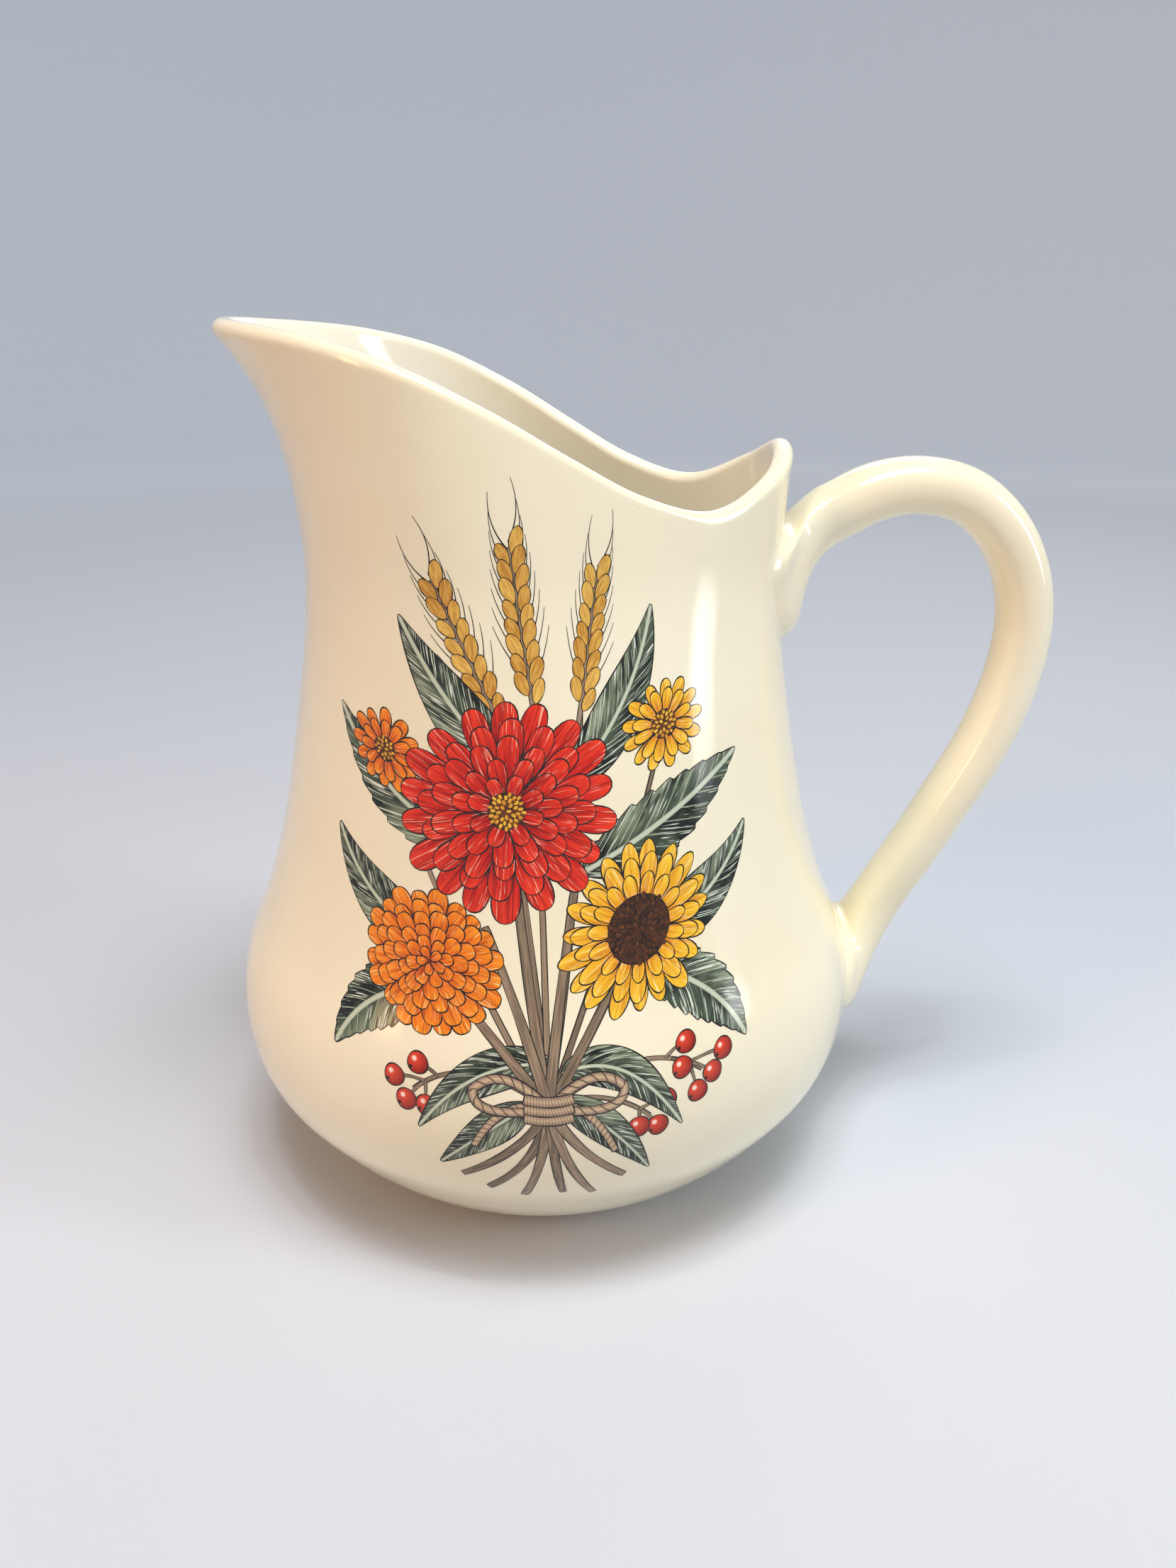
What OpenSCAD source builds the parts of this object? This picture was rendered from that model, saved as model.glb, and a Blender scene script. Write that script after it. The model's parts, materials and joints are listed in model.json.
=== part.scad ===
// Stoneware pitcher with a pulled spout and a strap handle.
// The front of the foot stands on the table at z = 0, the spout points to -X
// and the handle to +X. The pitcher is the same on both sides of the XZ plane.
// The body is one loft: a round belly and neck whose mouth is squeezed at the
// sides, pulled up into a spout in front and into a thumb rest behind.

/* [Body] */

// Height of the spout's tip above the table
jug_h = 217; // [200:1:235]
// Width across the belly, at its widest
belly_w = 168; // [150:1:186]
// Height of the widest part of the belly
belly_z = 46; // [40:1:54]
// Width across the neck, at its narrowest
neck_w = 116; // [104:1:130]
// Height of the narrowest part of the neck
neck_z = 168; // [160:1:172]
// Thickness of the wall
wall = 5; // [4:0.25:6.5]

/* [Mouth] */

// How far the spout's tip stands out past the neck
lip_flare = 17.5; // [12:0.5:22]
// How far the spout's tip stands above the lowest part of the rim
lip_rise = 38; // [30:1:44]
// Height where the round body starts to turn into the mouth
mouth_z = 60; // [52:1:76]

/* [Foot] */

// Width across the foot, where it meets the body
foot_w = 108; // [98:1:118]
// Height of the foot
foot_h = 3; // [2:0.25:4.5]
// Width of the ring that the pitcher stands on
foot_ring = 7; // [5:0.5:10]
// How far the foot draws in towards the table
foot_draft = 1.5; // [0.5:0.25:2.5]
// Radius of the foot's bottom edges
foot_round = 0.8; // [0.4:0.1:1.2]
// How far the body's edge stands out past the foot
foot_step = 0.6; // [0.3:0.1:1.5]

/* [Handle] */

// Distance from the pitcher's axis to the outside of the handle
handle_reach = 132; // [124:1:142]
// Height of the top of the handle
handle_top = 187; // [182:1:192]
// Height of the lower end of the handle's strap
handle_low = 70; // [64:1:76]
// Thickness of the strap at its upper end
strap_t = 14.5; // [12:0.5:17]
// Thickness of the strap at its lower end
strap_low_t = 12.5; // [10:0.5:15]
// Width of the strap
strap_w = 18; // [15:0.5:22]
// Width of the roots, where they are worked onto the body
root_w = 46; // [40:1:50]
// Height of the upper root on the body
upper_root_h = 29; // [26:1:33]
// Height of the upper root's top edge
upper_root_z = 171.5; // [169:0.5:173]
// Height of the lower root on the body
lower_root_h = 25; // [22:1:30]
// Height of the lower root's top edge
lower_root_z = 61; // [58:1:65]
// How far a root's edge stands off the body before it rounds down to it
root_edge = 7.5; // [5:0.5:9]
// Film of slip between a root and the body
slip = 0.2; // [0.15:0.05:0.35]

/* [Hidden] */

// Counts: steps round the body, and rows up each part of it
around = 72;
belly_rows = 13;
mouth_rows = 19;
lip_rows = 4;
// Counts: steps round the strap, along it, and along and across a root
strap_around = 24;
strap_rows = 34;
root_rows = 8;
cap_rows = 7;

belly_r = belly_w / 2;
neck_r = neck_w / 2;
foot_r = foot_w / 2;
body_foot_r = foot_r + foot_step;
// Far above the rim, where the neck's line may end
line_end = jug_h + neck_w;
// A step small enough to feel a surface's slope
feel = wall / 100;

// From the foot to the belly: share of the height, then share of the swelling
low_shares = [[0, 0], [0.07, 0.17], [0.16, 0.34], [0.4, 0.65], [0.67, 0.91], [1, 1]];
// From the belly to the neck: share of the height, then share of the swelling left
high_shares = [[0.12, 0.92], [0.25, 0.675], [0.4, 0.455], [0.54, 0.31], [0.69, 0.175], [0.85, 0.055], [1, 0]];
// The rim every 20 degrees from the handle to the spout: share of the flare, share of the
// rise, and how late the wall turns from the round body to the rim
rim_shares = [
    [0.19, 0.31, 4], [0.1, 0.17, 3.2], [-0.25, 0, 2], [-0.5, 0.11, 1.8], [-0.54, 0.34, 1.8],
    [-0.33, 0.6, 2.2], [0.02, 0.83, 3.5], [0.31, 0.95, 5.5], [0.655, 0.99, 7.5], [1, 1, 8.3]
];
rim_step = 180 / (len(rim_shares) - 1);

// The strap's middle line: share of the way out from the body, then share of the way up
strap_shares = [
    [0.004, 0.94], [0.186, 0.987], [0.389, 1], [0.606, 0.975], [0.796, 0.905], [0.93, 0.805],
    [0.988, 0.69], [0.969, 0.575], [0.889, 0.455], [0.756, 0.34], [0.57, 0.225], [0.368, 0.11], [0.137, 0]
];
// How much closer the rows lie at the foot, where the wall turns fastest
row_share = 1.4;
// How full a strap's section is: 1 is an oval, less is squarer
full_share = 0.86;
// At a root's top, sides and lower end: how far it keeps to the strap's line before it turns
// to the body, as shares of its gap, and how far its edge stands off, as shares of root_edge
upper_lead_shares = [0.37, 0.41, 0.52];
lower_lead_shares = [0.94, 0.67, 0.74];
upper_edge_shares = [0.5, 0.6, 1.1];
lower_edge_shares = [0.45, 0.75, 0.9];
// The most that a root's edge stands off the body, as a share of its gap
near_share = 0.5;
// How much wider a root is at its top than half way down
upper_spread_share = 0.35;
lower_spread_share = 0;
// How square a root's outline is: 2 is an oval, more is squarer
upper_power = 3;
lower_power = 2.2;

// Smooth steps between the points of a table whose points are evenly spaced
function even(v, i) = v[i < 0 ? -i : (i > len(v) - 1 ? 2 * (len(v) - 1) - i : i)];
function ease4(a, b, c, d, s) =
    b + s / 2 * (c - a + s * (2 * a - 5 * b + 4 * c - d + s * (3 * (b - c) + d - a)));
function smooth(v, x) =
    let (i = min(floor(x), len(v) - 2), s = x - i)
    ease4(even(v, i - 1), even(v, i), even(v, i + 1), even(v, i + 2), s);

// The body's side line: [height, radius]
side_line = concat(
    [for (p = low_shares) [foot_h + (belly_z - foot_h) * p[0], body_foot_r + (belly_r - body_foot_r) * p[1]]],
    [for (p = high_shares) [belly_z + (neck_z - belly_z) * p[0], neck_r + (belly_r - neck_r) * p[1]]],
    [[line_end, neck_r]]
);
function slope(k) =
    let (a = side_line[max(k - 1, 0)], b = side_line[min(k + 1, len(side_line) - 1)])
    k >= len(side_line) - 2 ? 0 : (b[1] - a[1]) / (b[0] - a[0]);
function side_r(z, k = 0) =
    k < len(side_line) - 2 && z > side_line[k + 1][0] ? side_r(z, k + 1) :
    let (
        p = side_line[k],
        q = side_line[k + 1],
        h = q[0] - p[0],
        s = max(0, (z - p[0]) / h)
    )
    p[1] * (1 + 2 * s) * pow(1 - s, 2) + h * slope(k) * s * pow(1 - s, 2)
    + q[1] * s * s * (3 - 2 * s) + h * slope(k + 1) * s * s * (s - 1);

// The rim at an angle from the handle: crest height, and how far it leaves the round neck
function fold(a) = abs(a > 180 ? a - 360 : a);
function rim_share(a, k) = smooth([for (p = rim_shares) p[k]], fold(a) / rim_step);
function rim_out(a) = lip_flare * rim_share(a, 0);
function rim_z(a) = jug_h - lip_rise * (1 - rim_share(a, 1)) - wall / 2;

// The outside of the wall at an angle and a height
function wall_r(a, z) =
    side_r(z) + rim_out(a) * pow(max(0, (z - mouth_z) / (rim_z(a) - mouth_z)), rim_share(a, 2));
function wall_p(a, z) = let (r = wall_r(a, z)) [r * cos(a), r * sin(a), z];
function unit(v) = v / norm(v);
function wall_n(a, z) =
    let (
        step = feel / side_r(z) * 180 / PI,
        up = wall_p(a, z + feel) - wall_p(a, max(foot_h, z - feel)),
        on = wall_p(a + step, z) - wall_p(a - step, z)
    )
    unit(cross(on, up));

// Rows of the body: round ones on the belly, then ones that climb to the rim
function row_z(j, a) =
    j <= belly_rows
    ? foot_h + (mouth_z - foot_h) * pow(j / belly_rows, row_share)
    : mouth_z + (rim_z(a) - mouth_z) * (j - belly_rows) / mouth_rows;

function ring(j) = [for (i = [0 : around - 1]) let (a = 360 * i / around) [a, row_z(j, a)]];
rows = belly_rows + mouth_rows;
outer = [for (j = [0 : rows]) [for (q = ring(j)) wall_p(q[0], q[1])]];
inner = [for (j = [0 : rows]) [for (q = ring(j)) wall_p(q[0], q[1]) - wall * wall_n(q[0], q[1])]];
lip = [
    for (k = [1 : lip_rows - 1])
    let (t = 180 * k / lip_rows)
    [
        for (i = [0 : around - 1])
        let (
            p = outer[rows][i],
            q = inner[rows][i],
            up = unit(outer[rows][i] - outer[rows - 1][i]),
            n = unit(p - q)
        )
        (p + q) / 2 + wall / 2 * (cos(t) * n + sin(t) * up)
    ]
];

// A closed skin over rings of equal length, with a fan over the first and the last
function flat(v) = [for (r = v) for (p = r) p];
function mid(r) = [for (k = [0 : 2]) [for (p = r) p[k]] * [for (p = r) 1] / len(r)];
function skin(m, n) = [
    for (j = [0 : m - 2]) for (i = [0 : n - 1]) for (f = [0, 1])
    let (k = (i + 1) % n)
    f == 0 ? [j * n + i, (j + 1) * n + i, (j + 1) * n + k] : [j * n + i, (j + 1) * n + k, j * n + k]
];
module skinned(rings) {
    m = len(rings);
    n = len(rings[0]);
    points = concat(flat(rings), [mid(rings[0]), mid(rings[m - 1])]);
    first = [for (i = [0 : n - 1]) [m * n, i, (i + 1) % n]];
    last = [for (i = [0 : n - 1]) [m * n + 1, (m - 1) * n + (i + 1) % n, (m - 1) * n + i]];
    polyhedron(points = points, faces = concat(skin(m, n), first, last), convexity = 8);
}

module body() {
    color("ivory")
    skinned(concat(outer, lip, [for (j = [rows : -1 : 0]) inner[j]]));
}

module foot_ring_solid() {
    color("tan")
    rotate_extrude($fn = 96)
    polygon([
        [foot_r - foot_ring, foot_h],
        [foot_r - foot_ring, foot_round],
        [foot_r - foot_ring + foot_round, 0],
        [foot_r - foot_draft - foot_round, 0],
        [foot_r - foot_draft, foot_round],
        [foot_r, foot_h]
    ]);
}

// The strap's middle line, in the plane y = 0: it leaves from a base line that
// runs from the neck down to the belly, so that it follows the body
reach_mid = handle_reach - strap_t / 2;
top_mid = handle_top - strap_t / 2;
start_x = neck_r + strap_t;
low_x = side_r(handle_low) + strap_low_t;
function strap_at(s) =
    let (x = s * (len(strap_shares) - 1), base_x = start_x + (low_x - start_x) * s)
    [
        base_x + (reach_mid - base_x) * ends(strap_shares, x, 0),
        0,
        handle_low + (top_mid - handle_low) * ends(strap_shares, x, 1)
    ];
function beyond(v, i, k) =
    i < 0 ? 2 * v[0][k] - v[1][k] : (i > len(v) - 1 ? 2 * v[len(v) - 1][k] - v[len(v) - 2][k] : v[i][k]);
function ends(v, x, k) =
    let (i = min(floor(x), len(v) - 2), s = x - i)
    ease4(beyond(v, i - 1, k), beyond(v, i, k), beyond(v, i + 1, k), beyond(v, i + 2, k), s);
nudge = 1 / strap_rows / 20;
function strap_dir(s) = unit(strap_at(min(1, s + nudge)) - strap_at(max(0, s - nudge)));
function plump(v) = sign(v) * pow(abs(v), full_share);
function strap_ring(s) =
    let (
        p = strap_at(s),
        d = strap_dir(s),
        out = [-d[2], 0, d[0]],
        t = strap_t + (strap_low_t - strap_t) * s
    )
    [
        for (i = [0 : strap_around - 1])
        let (a = 360 * i / strap_around)
        p + out * (t / 2 * plump(cos(a))) - [0, strap_w / 2 * plump(sin(a)), 0]
    ];

module handle() {
    color("linen")
    skinned([for (j = [0 : strap_rows]) strap_ring(j / strap_rows)]);
}

// The body's wall behind the handle, a film of slip away from it
function wall_angle(y, z, n = 5) = n == 0 ? 0 : asin(y / wall_r(wall_angle(y, z, n - 1), z));
function on_wall(y, z) =
    let (a = wall_angle(y, z))
    wall_p(a, z) + slip * wall_n(a, z);
// A root's outline on the wall, shrunk by a share towards its middle
function outline(way, top, high, spread, power, i, share) =
    let (
        a = 360 * i / strap_around,
        r = share * pow(pow(abs(cos(a)), power) + pow(abs(sin(a)), power), -1 / power),
        up = -way * r * cos(a)
    )
    on_wall(-root_w / 2 * r * sin(a) * (1 + spread * up), top - high / 2 + high / 2 * up);
function bow(a, b, c, d, s) =
    pow(1 - s, 3) * a + 3 * s * pow(1 - s, 2) * b + 3 * s * s * (1 - s) * c + pow(s, 3) * d;
// Blends a value for the top, the sides and the lower end
function blend(v, up) = v[1] + (up > 0 ? v[0] - v[1] : v[2] - v[1]) * up * up;
module root(s, way, top, high, spread, power, leads, edges) {
    start = strap_ring(s);
    dir = way * strap_dir(s);
    edge = [for (i = [0 : strap_around - 1]) outline(way, top, high, spread, power, i, 1)];
    rings = [
        for (j = [0 : root_rows])
        [
            for (i = [0 : strap_around - 1])
            let (
                up = -way * cos(360 * i / strap_around),
                gap = norm(edge[i] - start[i]),
                lead = blend(leads, up) * gap,
                off = min(root_edge * blend(edges, up), near_share * gap),
                n = wall_n(wall_angle(edge[i][1], edge[i][2]), edge[i][2])
            )
            bow(start[i], start[i] + dir * lead, edge[i] + n * off, edge[i], j / root_rows)
        ]
    ];
    cap = [
        for (k = [1 : cap_rows - 1])
        [for (i = [0 : strap_around - 1]) outline(way, top, high, spread, power, i, 1 - k / cap_rows)]
    ];
    all = concat(rings, cap);
    skinned(way > 0 ? all : [for (j = [len(all) - 1 : -1 : 0]) all[j]]);
}

module upper_root() {
    color("wheat")
    root(0, -1, upper_root_z, upper_root_h, upper_spread_share, upper_power, upper_lead_shares, upper_edge_shares);
}

module lower_root() {
    color("wheat")
    root(1, 1, lower_root_z, lower_root_h, lower_spread_share, lower_power, lower_lead_shares, lower_edge_shares);
}

body();
foot_ring_solid();  // foot
handle();
upper_root();
lower_root();
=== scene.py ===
# %% [markdown]
# # A glazed pitcher with a flower print
#
# The real pitcher is stoneware, cast in a mould: one round wall that is squeezed at the
# mouth, pulled up into a spout in front and into a thumb rest behind. A strap handle is
# stuck on with wet clay, whose two ends are worked out over the wall. Then the whole pot is
# dipped in ivory glaze, and a flower print is fired on to one side of it.
#
# The CAD model has the same shape in flat facets. This script draws the glazed skin over it,
# fine enough to shine, from the same rules and sizes. The first cell loads the CAD model,
# which stays where it is.

# %% Load the CAD model
import json
import math
import random

import bpy
import numpy as np
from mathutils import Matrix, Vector

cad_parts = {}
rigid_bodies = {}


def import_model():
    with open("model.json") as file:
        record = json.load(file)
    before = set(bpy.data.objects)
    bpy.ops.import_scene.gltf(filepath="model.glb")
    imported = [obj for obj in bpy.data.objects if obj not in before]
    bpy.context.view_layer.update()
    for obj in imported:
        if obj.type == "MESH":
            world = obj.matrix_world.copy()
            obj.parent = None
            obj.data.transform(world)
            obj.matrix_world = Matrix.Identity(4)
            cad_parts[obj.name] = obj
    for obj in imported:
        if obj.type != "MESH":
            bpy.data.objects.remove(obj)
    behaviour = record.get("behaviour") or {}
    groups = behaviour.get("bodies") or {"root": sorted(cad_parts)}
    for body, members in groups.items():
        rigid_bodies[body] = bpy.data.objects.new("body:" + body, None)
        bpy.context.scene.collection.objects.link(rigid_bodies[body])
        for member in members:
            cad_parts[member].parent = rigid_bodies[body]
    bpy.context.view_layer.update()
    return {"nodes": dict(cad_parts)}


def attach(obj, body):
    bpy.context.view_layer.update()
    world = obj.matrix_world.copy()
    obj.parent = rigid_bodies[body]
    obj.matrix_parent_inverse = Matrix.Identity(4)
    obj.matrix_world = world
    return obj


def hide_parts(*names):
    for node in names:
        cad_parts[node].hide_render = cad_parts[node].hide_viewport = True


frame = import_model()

MM = 0.001
scene = bpy.context.scene


def new_object(name, data):
    """An object of this data, linked to the scene."""
    made = bpy.data.objects.new(name, data)
    scene.collection.objects.link(made)
    return made


# %% [markdown]
# ## The camera
#
# The camera comes first, because every later choice is judged through it. The photograph was
# taken by hand from close by: 30 cm in front of the pitcher's axis, a little above its spout,
# looking down at it. Those numbers were found by fitting a camera to the pitcher's outline,
# and a wide field of view follows from them. A long lens from far away would hide the inside
# of the mouth, so the real one is used.

# %% Camera
PHOTO_WIDTH, FOCAL_PX = 1659, 1700
SENSOR = 36
LOOKS_DOWN, LOOKS_ASIDE = 21.76, -0.64
camera = new_object("camera", bpy.data.cameras.new("camera"))
camera.data.sensor_fit = "HORIZONTAL"
camera.data.sensor_width = SENSOR
camera.data.lens = SENSOR * FOCAL_PX / PHOTO_WIDTH
camera.data.clip_start, camera.data.clip_end = 0.01, 20
camera.location = (8.2 * MM, -304.2 * MM, 221.7 * MM)
camera.rotation_euler = (math.radians(90 - LOOKS_DOWN), 0, math.radians(LOOKS_ASIDE))
scene.camera = camera
print(f"lens {camera.data.lens:.1f} mm, {-camera.location.y / MM:.0f} mm in front of the axis")

# %% [markdown]
# ## The body's rule
#
# A potter would describe this body with two drawings: the side line of the plain round pot,
# and the line of the rim seen from above and from the side. Everything between is a blend:
# low down the wall is round, and the closer it comes to the rim, the more it leans out to
# meet it. So the rule needs one smooth curve through the side line's heights and radii, and
# three numbers for the rim at each angle: how far out, how high, and how late the wall turns.
# The sizes are the CAD model's, in millimetres.

# %% Sizes and tables
jug_h, belly_w, belly_z, neck_w, neck_z, wall = 217, 168, 46, 116, 168, 5
lip_flare, lip_rise, mouth_z = 17.5, 38, 60
foot_w, foot_h, foot_step = 108, 3, 0.6
belly_r, neck_r, foot_r = belly_w / 2, neck_w / 2, foot_w / 2
# The smooth skin lies a hair inside the facets' corners, so that it stays in the CAD box
INSET = 0.06
# From foot to belly: share of the height, share of the swelling. From belly to neck: the same,
# as the share of the swelling that is left
LOW = [(0, 0), (0.07, 0.17), (0.16, 0.34), (0.4, 0.65), (0.67, 0.91), (1, 1)]
HIGH = [(0.12, 0.92), (0.25, 0.675), (0.4, 0.455), (0.54, 0.31), (0.69, 0.175), (0.85, 0.055), (1, 0)]
# Every 20 degrees from the handle to the spout: share of the flare, share of the rise, lateness
RIM = np.array([
    (0.19, 0.31, 4), (0.1, 0.17, 3.2), (-0.25, 0, 2), (-0.5, 0.11, 1.8), (-0.54, 0.34, 1.8),
    (-0.33, 0.6, 2.2), (0.02, 0.83, 3.5), (0.31, 0.95, 5.5), (0.655, 0.99, 7.5), (1, 1, 8.3),
])
RIM_STEP = 20


def ease(a, b, c, d, s):
    """The smooth curve through evenly spaced values, between b and c."""
    return b + s / 2 * (c - a + s * (2 * a - 5 * b + 4 * c - d + s * (3 * (b - c) + d - a)))


print(len(LOW) + len(HIGH), "places on the side line,", len(RIM), "on the rim")

# %% The side line as a smooth curve
low_r = foot_r + foot_step
side = [(foot_h + (belly_z - foot_h) * up, low_r + (belly_r - low_r) * out) for up, out in LOW]
side += [(belly_z + (neck_z - belly_z) * up, neck_r + (belly_r - neck_r) * out) for up, out in HIGH]
side = np.array(side + [(jug_h + neck_w, neck_r)])
lean = np.zeros(len(side))
for k in range(len(side) - 2):
    before, after = side[max(k - 1, 0)], side[k + 1]
    lean[k] = (after[1] - before[1]) / (after[0] - before[0])


def side_r(z):
    """Radius of the plain round pot at a height."""
    z = np.asarray(z, float)
    k = np.clip(np.searchsorted(side[:, 0], z) - 1, 0, len(side) - 2)
    (z0, r0), (z1, r1) = np.moveaxis(side[k], -1, 0), np.moveaxis(side[k + 1], -1, 0)
    h = z1 - z0
    s = np.maximum(0, (z - z0) / h)
    lower = (r0 * (1 + 2 * s) + h * lean[k] * s) * (1 - s) ** 2
    return lower + (r1 * (3 - 2 * s) + h * lean[k + 1] * (s - 1)) * s * s


print("radius at the belly and the neck, mm:", side_r([belly_z, neck_z]).round(2))


# %% The rim, and any point of the wall
def rim(angle, column):
    """One of the rim's three numbers at an angle in degrees from the handle."""
    x = np.abs((np.asarray(angle, float) + 180) % 360 - 180) / RIM_STEP
    last = len(RIM) - 1
    i = np.minimum(x.astype(int), last - 1)
    near = [RIM[last - np.abs(last - np.abs(i + step)), column] for step in (-1, 0, 1, 2)]
    return ease(*near, x - i)


def rim_z(angle):
    return jug_h - lip_rise * (1 - rim(angle, 1)) - wall / 2


def wall_p(angle, z):
    """A point on the outside of the wall, in mm."""
    turned = np.maximum(0, (z - mouth_z) / (rim_z(angle) - mouth_z)) ** rim(angle, 2)
    r = side_r(z) + lip_flare * rim(angle, 0) * turned
    t = np.radians(angle)
    return np.stack([r * np.cos(t), r * np.sin(t), z + 0 * r], -1)


def unit(v):
    return v / np.linalg.norm(v, axis=-1, keepdims=True)


def wall_n(angle, z):
    """The direction in which the wall faces there, felt over a small step in mm."""
    step = 0.05
    turn = np.degrees(step / side_r(z))
    up = wall_p(angle, z + step) - wall_p(angle, np.maximum(foot_h, z - step))
    return unit(np.cross(wall_p(angle + turn, z) - wall_p(angle - turn, z), up))


print("spout tip, mm:", wall_p(180, rim_z(180)).round(1), "thumb rest:", wall_p(0, rim_z(0)).round(1))

# %% [markdown]
# ## A helper that skins rings
#
# Body, handle and floor are all lofts: rings of points joined by a skin. One helper turns an
# array of rings into a mesh whose faces point outwards. Blender's own Loft tools work on
# curves by hand. In a script, four-sided faces between rings are shorter and exact.


# %% Skin helper
def skinned(name, rings, close_ends=True):
    """A smooth mesh over rings of equal length, given in mm as an array [ring, point, xyz]."""
    rings = np.asarray(rings, float)
    m, n = rings.shape[:2]
    points = rings.reshape(-1, 3)
    j, i = np.meshgrid(np.arange(m - 1), np.arange(n), indexing="ij")
    k = (i + 1) % n
    faces = np.stack([j * n + i, j * n + k, (j + 1) * n + k, (j + 1) * n + i], -1).reshape(-1, 4).tolist()
    if close_ends:
        points = np.vstack([points, rings[0].mean(0), rings[-1].mean(0)])
        faces += [(m * n, (a + 1) % n, a) for a in range(n)]
        faces += [(m * n + 1, (m - 1) * n + a, (m - 1) * n + (a + 1) % n) for a in range(n)]
    mesh = bpy.data.meshes.new(name)
    mesh.from_pydata((points * MM).tolist(), [], faces)
    mesh.shade_smooth()
    return new_object(name, mesh)


def volume(piece):
    """Signed volume in cubic cm: positive when the faces point outwards."""
    mesh = piece.data
    mesh.calc_loop_triangles()
    co = np.array([v.co for v in mesh.vertices])
    tri = np.array([t.vertices for t in mesh.loop_triangles])
    a, b, c = co[tri[:, 0]], co[tri[:, 1]], co[tri[:, 2]]
    return float(np.einsum("ij,ij->i", a, np.cross(b, c)).sum() / 6 * 1e6)


# %% [markdown]
# ## The body
#
# The skin starts in the middle of the underside, goes up the outside, over the rounded rim
# and down the inside to the floor. The rings lie closer together near the foot and at the
# rim, where the wall turns fastest. The inside is the outside moved in by the wall's
# thickness, along the wall's own direction, so the wall is as thick everywhere as a cast one
# is. The corner between wall and floor is filled a little, as glaze fills it.

# %% The wall, outside and inside
AROUND = 192
LOW_ROWS, HIGH_ROWS = 40, 60
# More than 1 crowds the rows towards the foot, and towards the rim
FOOT_CROWD, RIM_CROWD = 1.4, 1.25
angles = np.arange(AROUND) * 360 / AROUND
low_rows = foot_h + (mouth_z - foot_h) * np.linspace(0, 1, LOW_ROWS + 1) ** FOOT_CROWD
high_rows = 1 - (1 - np.linspace(0, 1, HIGH_ROWS + 1)[1:]) ** RIM_CROWD


def row_heights(angle):
    """Heights of the rows at an angle, from the foot to the rim."""
    return np.concatenate([low_rows, mouth_z + (rim_z(angle) - mouth_z) * high_rows])


A, Z = np.broadcast_arrays(angles[None, :], np.stack([row_heights(a) for a in angles], 1))
facing = wall_n(A, Z)
outside = wall_p(A, Z) - INSET * facing
inside = outside - (wall - INSET) * facing
print(f"{len(outside)} rows of {AROUND} points, {np.ptp(outside[-1, :, 2]):.1f} mm from the rim's low to its tip")

# %% The rim, the floor inside and the underside
up = unit(outside[-1] - outside[-2])
out = unit(outside[-1] - inside[-1])
middle = (outside[-1] + inside[-1]) / 2
bends = np.radians(np.arange(15, 180, 15))
lip = [middle + wall / 2 * (math.cos(t) * out + math.sin(t) * up) for t in bends]
floor_z = inside[0, :, 2].mean()
# The wall and the floor meet in a soft hollow: a smooth maximum of the two heights, up to 12 mm
# above the floor, and a floor that rises a little towards its edge
REACH, SOFTNESS, RISE, LATE = 12, 1.2, 1.1, 12
low_part = inside[:, :, 2] < floor_z + REACH
softened = floor_z + np.sqrt((inside[:, :, 2] - floor_z) ** 2 + SOFTNESS)
inside[:, :, 2] = np.where(low_part, softened, inside[:, :, 2])
rings_in = [
    inside[0] * (share, share, 0) + (0, 0, floor_z + RISE * share ** LATE)
    for share in (0.97, 0.9, 0.8, 0.6, 0.35, 0.12)
]
rings_under = [outside[0] * (share, share, 1) for share in (0.12, 0.35, 0.6, 0.85, 0.97)]
rings = rings_under + list(outside) + lip + list(inside[::-1]) + rings_in
body = skinned("glazed_body", rings)
print(f"body: {len(body.data.polygons)} faces, {volume(body):.0f} cubic cm of clay")

# %% How far inside each point is
# 0 outside and 1 inside. It turns over the rim and the first rows below it
ROWS_TO_TURN = 8
first_in = len(rings_under) + len(outside)
depth = np.clip((np.arange(len(rings)) - first_in) / (len(lip) + ROWS_TO_TURN), 0, 1)
# The shader paints the inside paler by this share: painted light in the mouth
inside_light_share = body.data.attributes.new("inside", "FLOAT", "POINT")
inside_light_share.data.foreach_set("value", np.append(np.repeat(depth, AROUND), [0, 1]).astype(np.float32))
print(f"{(depth == 1).sum()} of {len(depth)} rings are inside")

# %% [markdown]
# ## Helpers for node trees
#
# Geometry and materials are both made of nodes here. One small function adds a node of any
# kind and fills its inputs, so a tree reads like a list of sums. Its inputs are values,
# sockets or whole nodes. A whole node stands for its first output in use, which is the right
# one even where a node has a hidden output for each type of data.

# %% One function that adds a node
VECTOR_MATH, MIX = "ShaderNodeVectorMath", "ShaderNodeMix"
SPLIT, JOIN = "ShaderNodeSeparateXYZ", "ShaderNodeCombineXYZ"
NOISE, BUMP, RAMP = "ShaderNodeTexNoise", "ShaderNodeBump", "ShaderNodeMapRange"


def add(tree, kind, *inputs, **settings):
    """Adds a node with its settings, and fills its inputs, given in order or by name in a dict.

    A kind in capitals is one operation of a Math node."""
    if kind.isupper():
        kind, settings["operation"] = "ShaderNodeMath", kind
    made = tree.nodes.new(kind)
    for name, value in settings.items():
        setattr(made, name, value)
    named = inputs[0] if inputs and isinstance(inputs[0], dict) else dict(enumerate(inputs))
    for key, value in named.items():
        if isinstance(value, bpy.types.Node):
            value = next(socket for socket in value.outputs if socket.enabled)
        if isinstance(value, bpy.types.NodeSocket):
            tree.links.new(value, made.inputs[key])
        else:
            made.inputs[key].default_value = value
    return made


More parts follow.
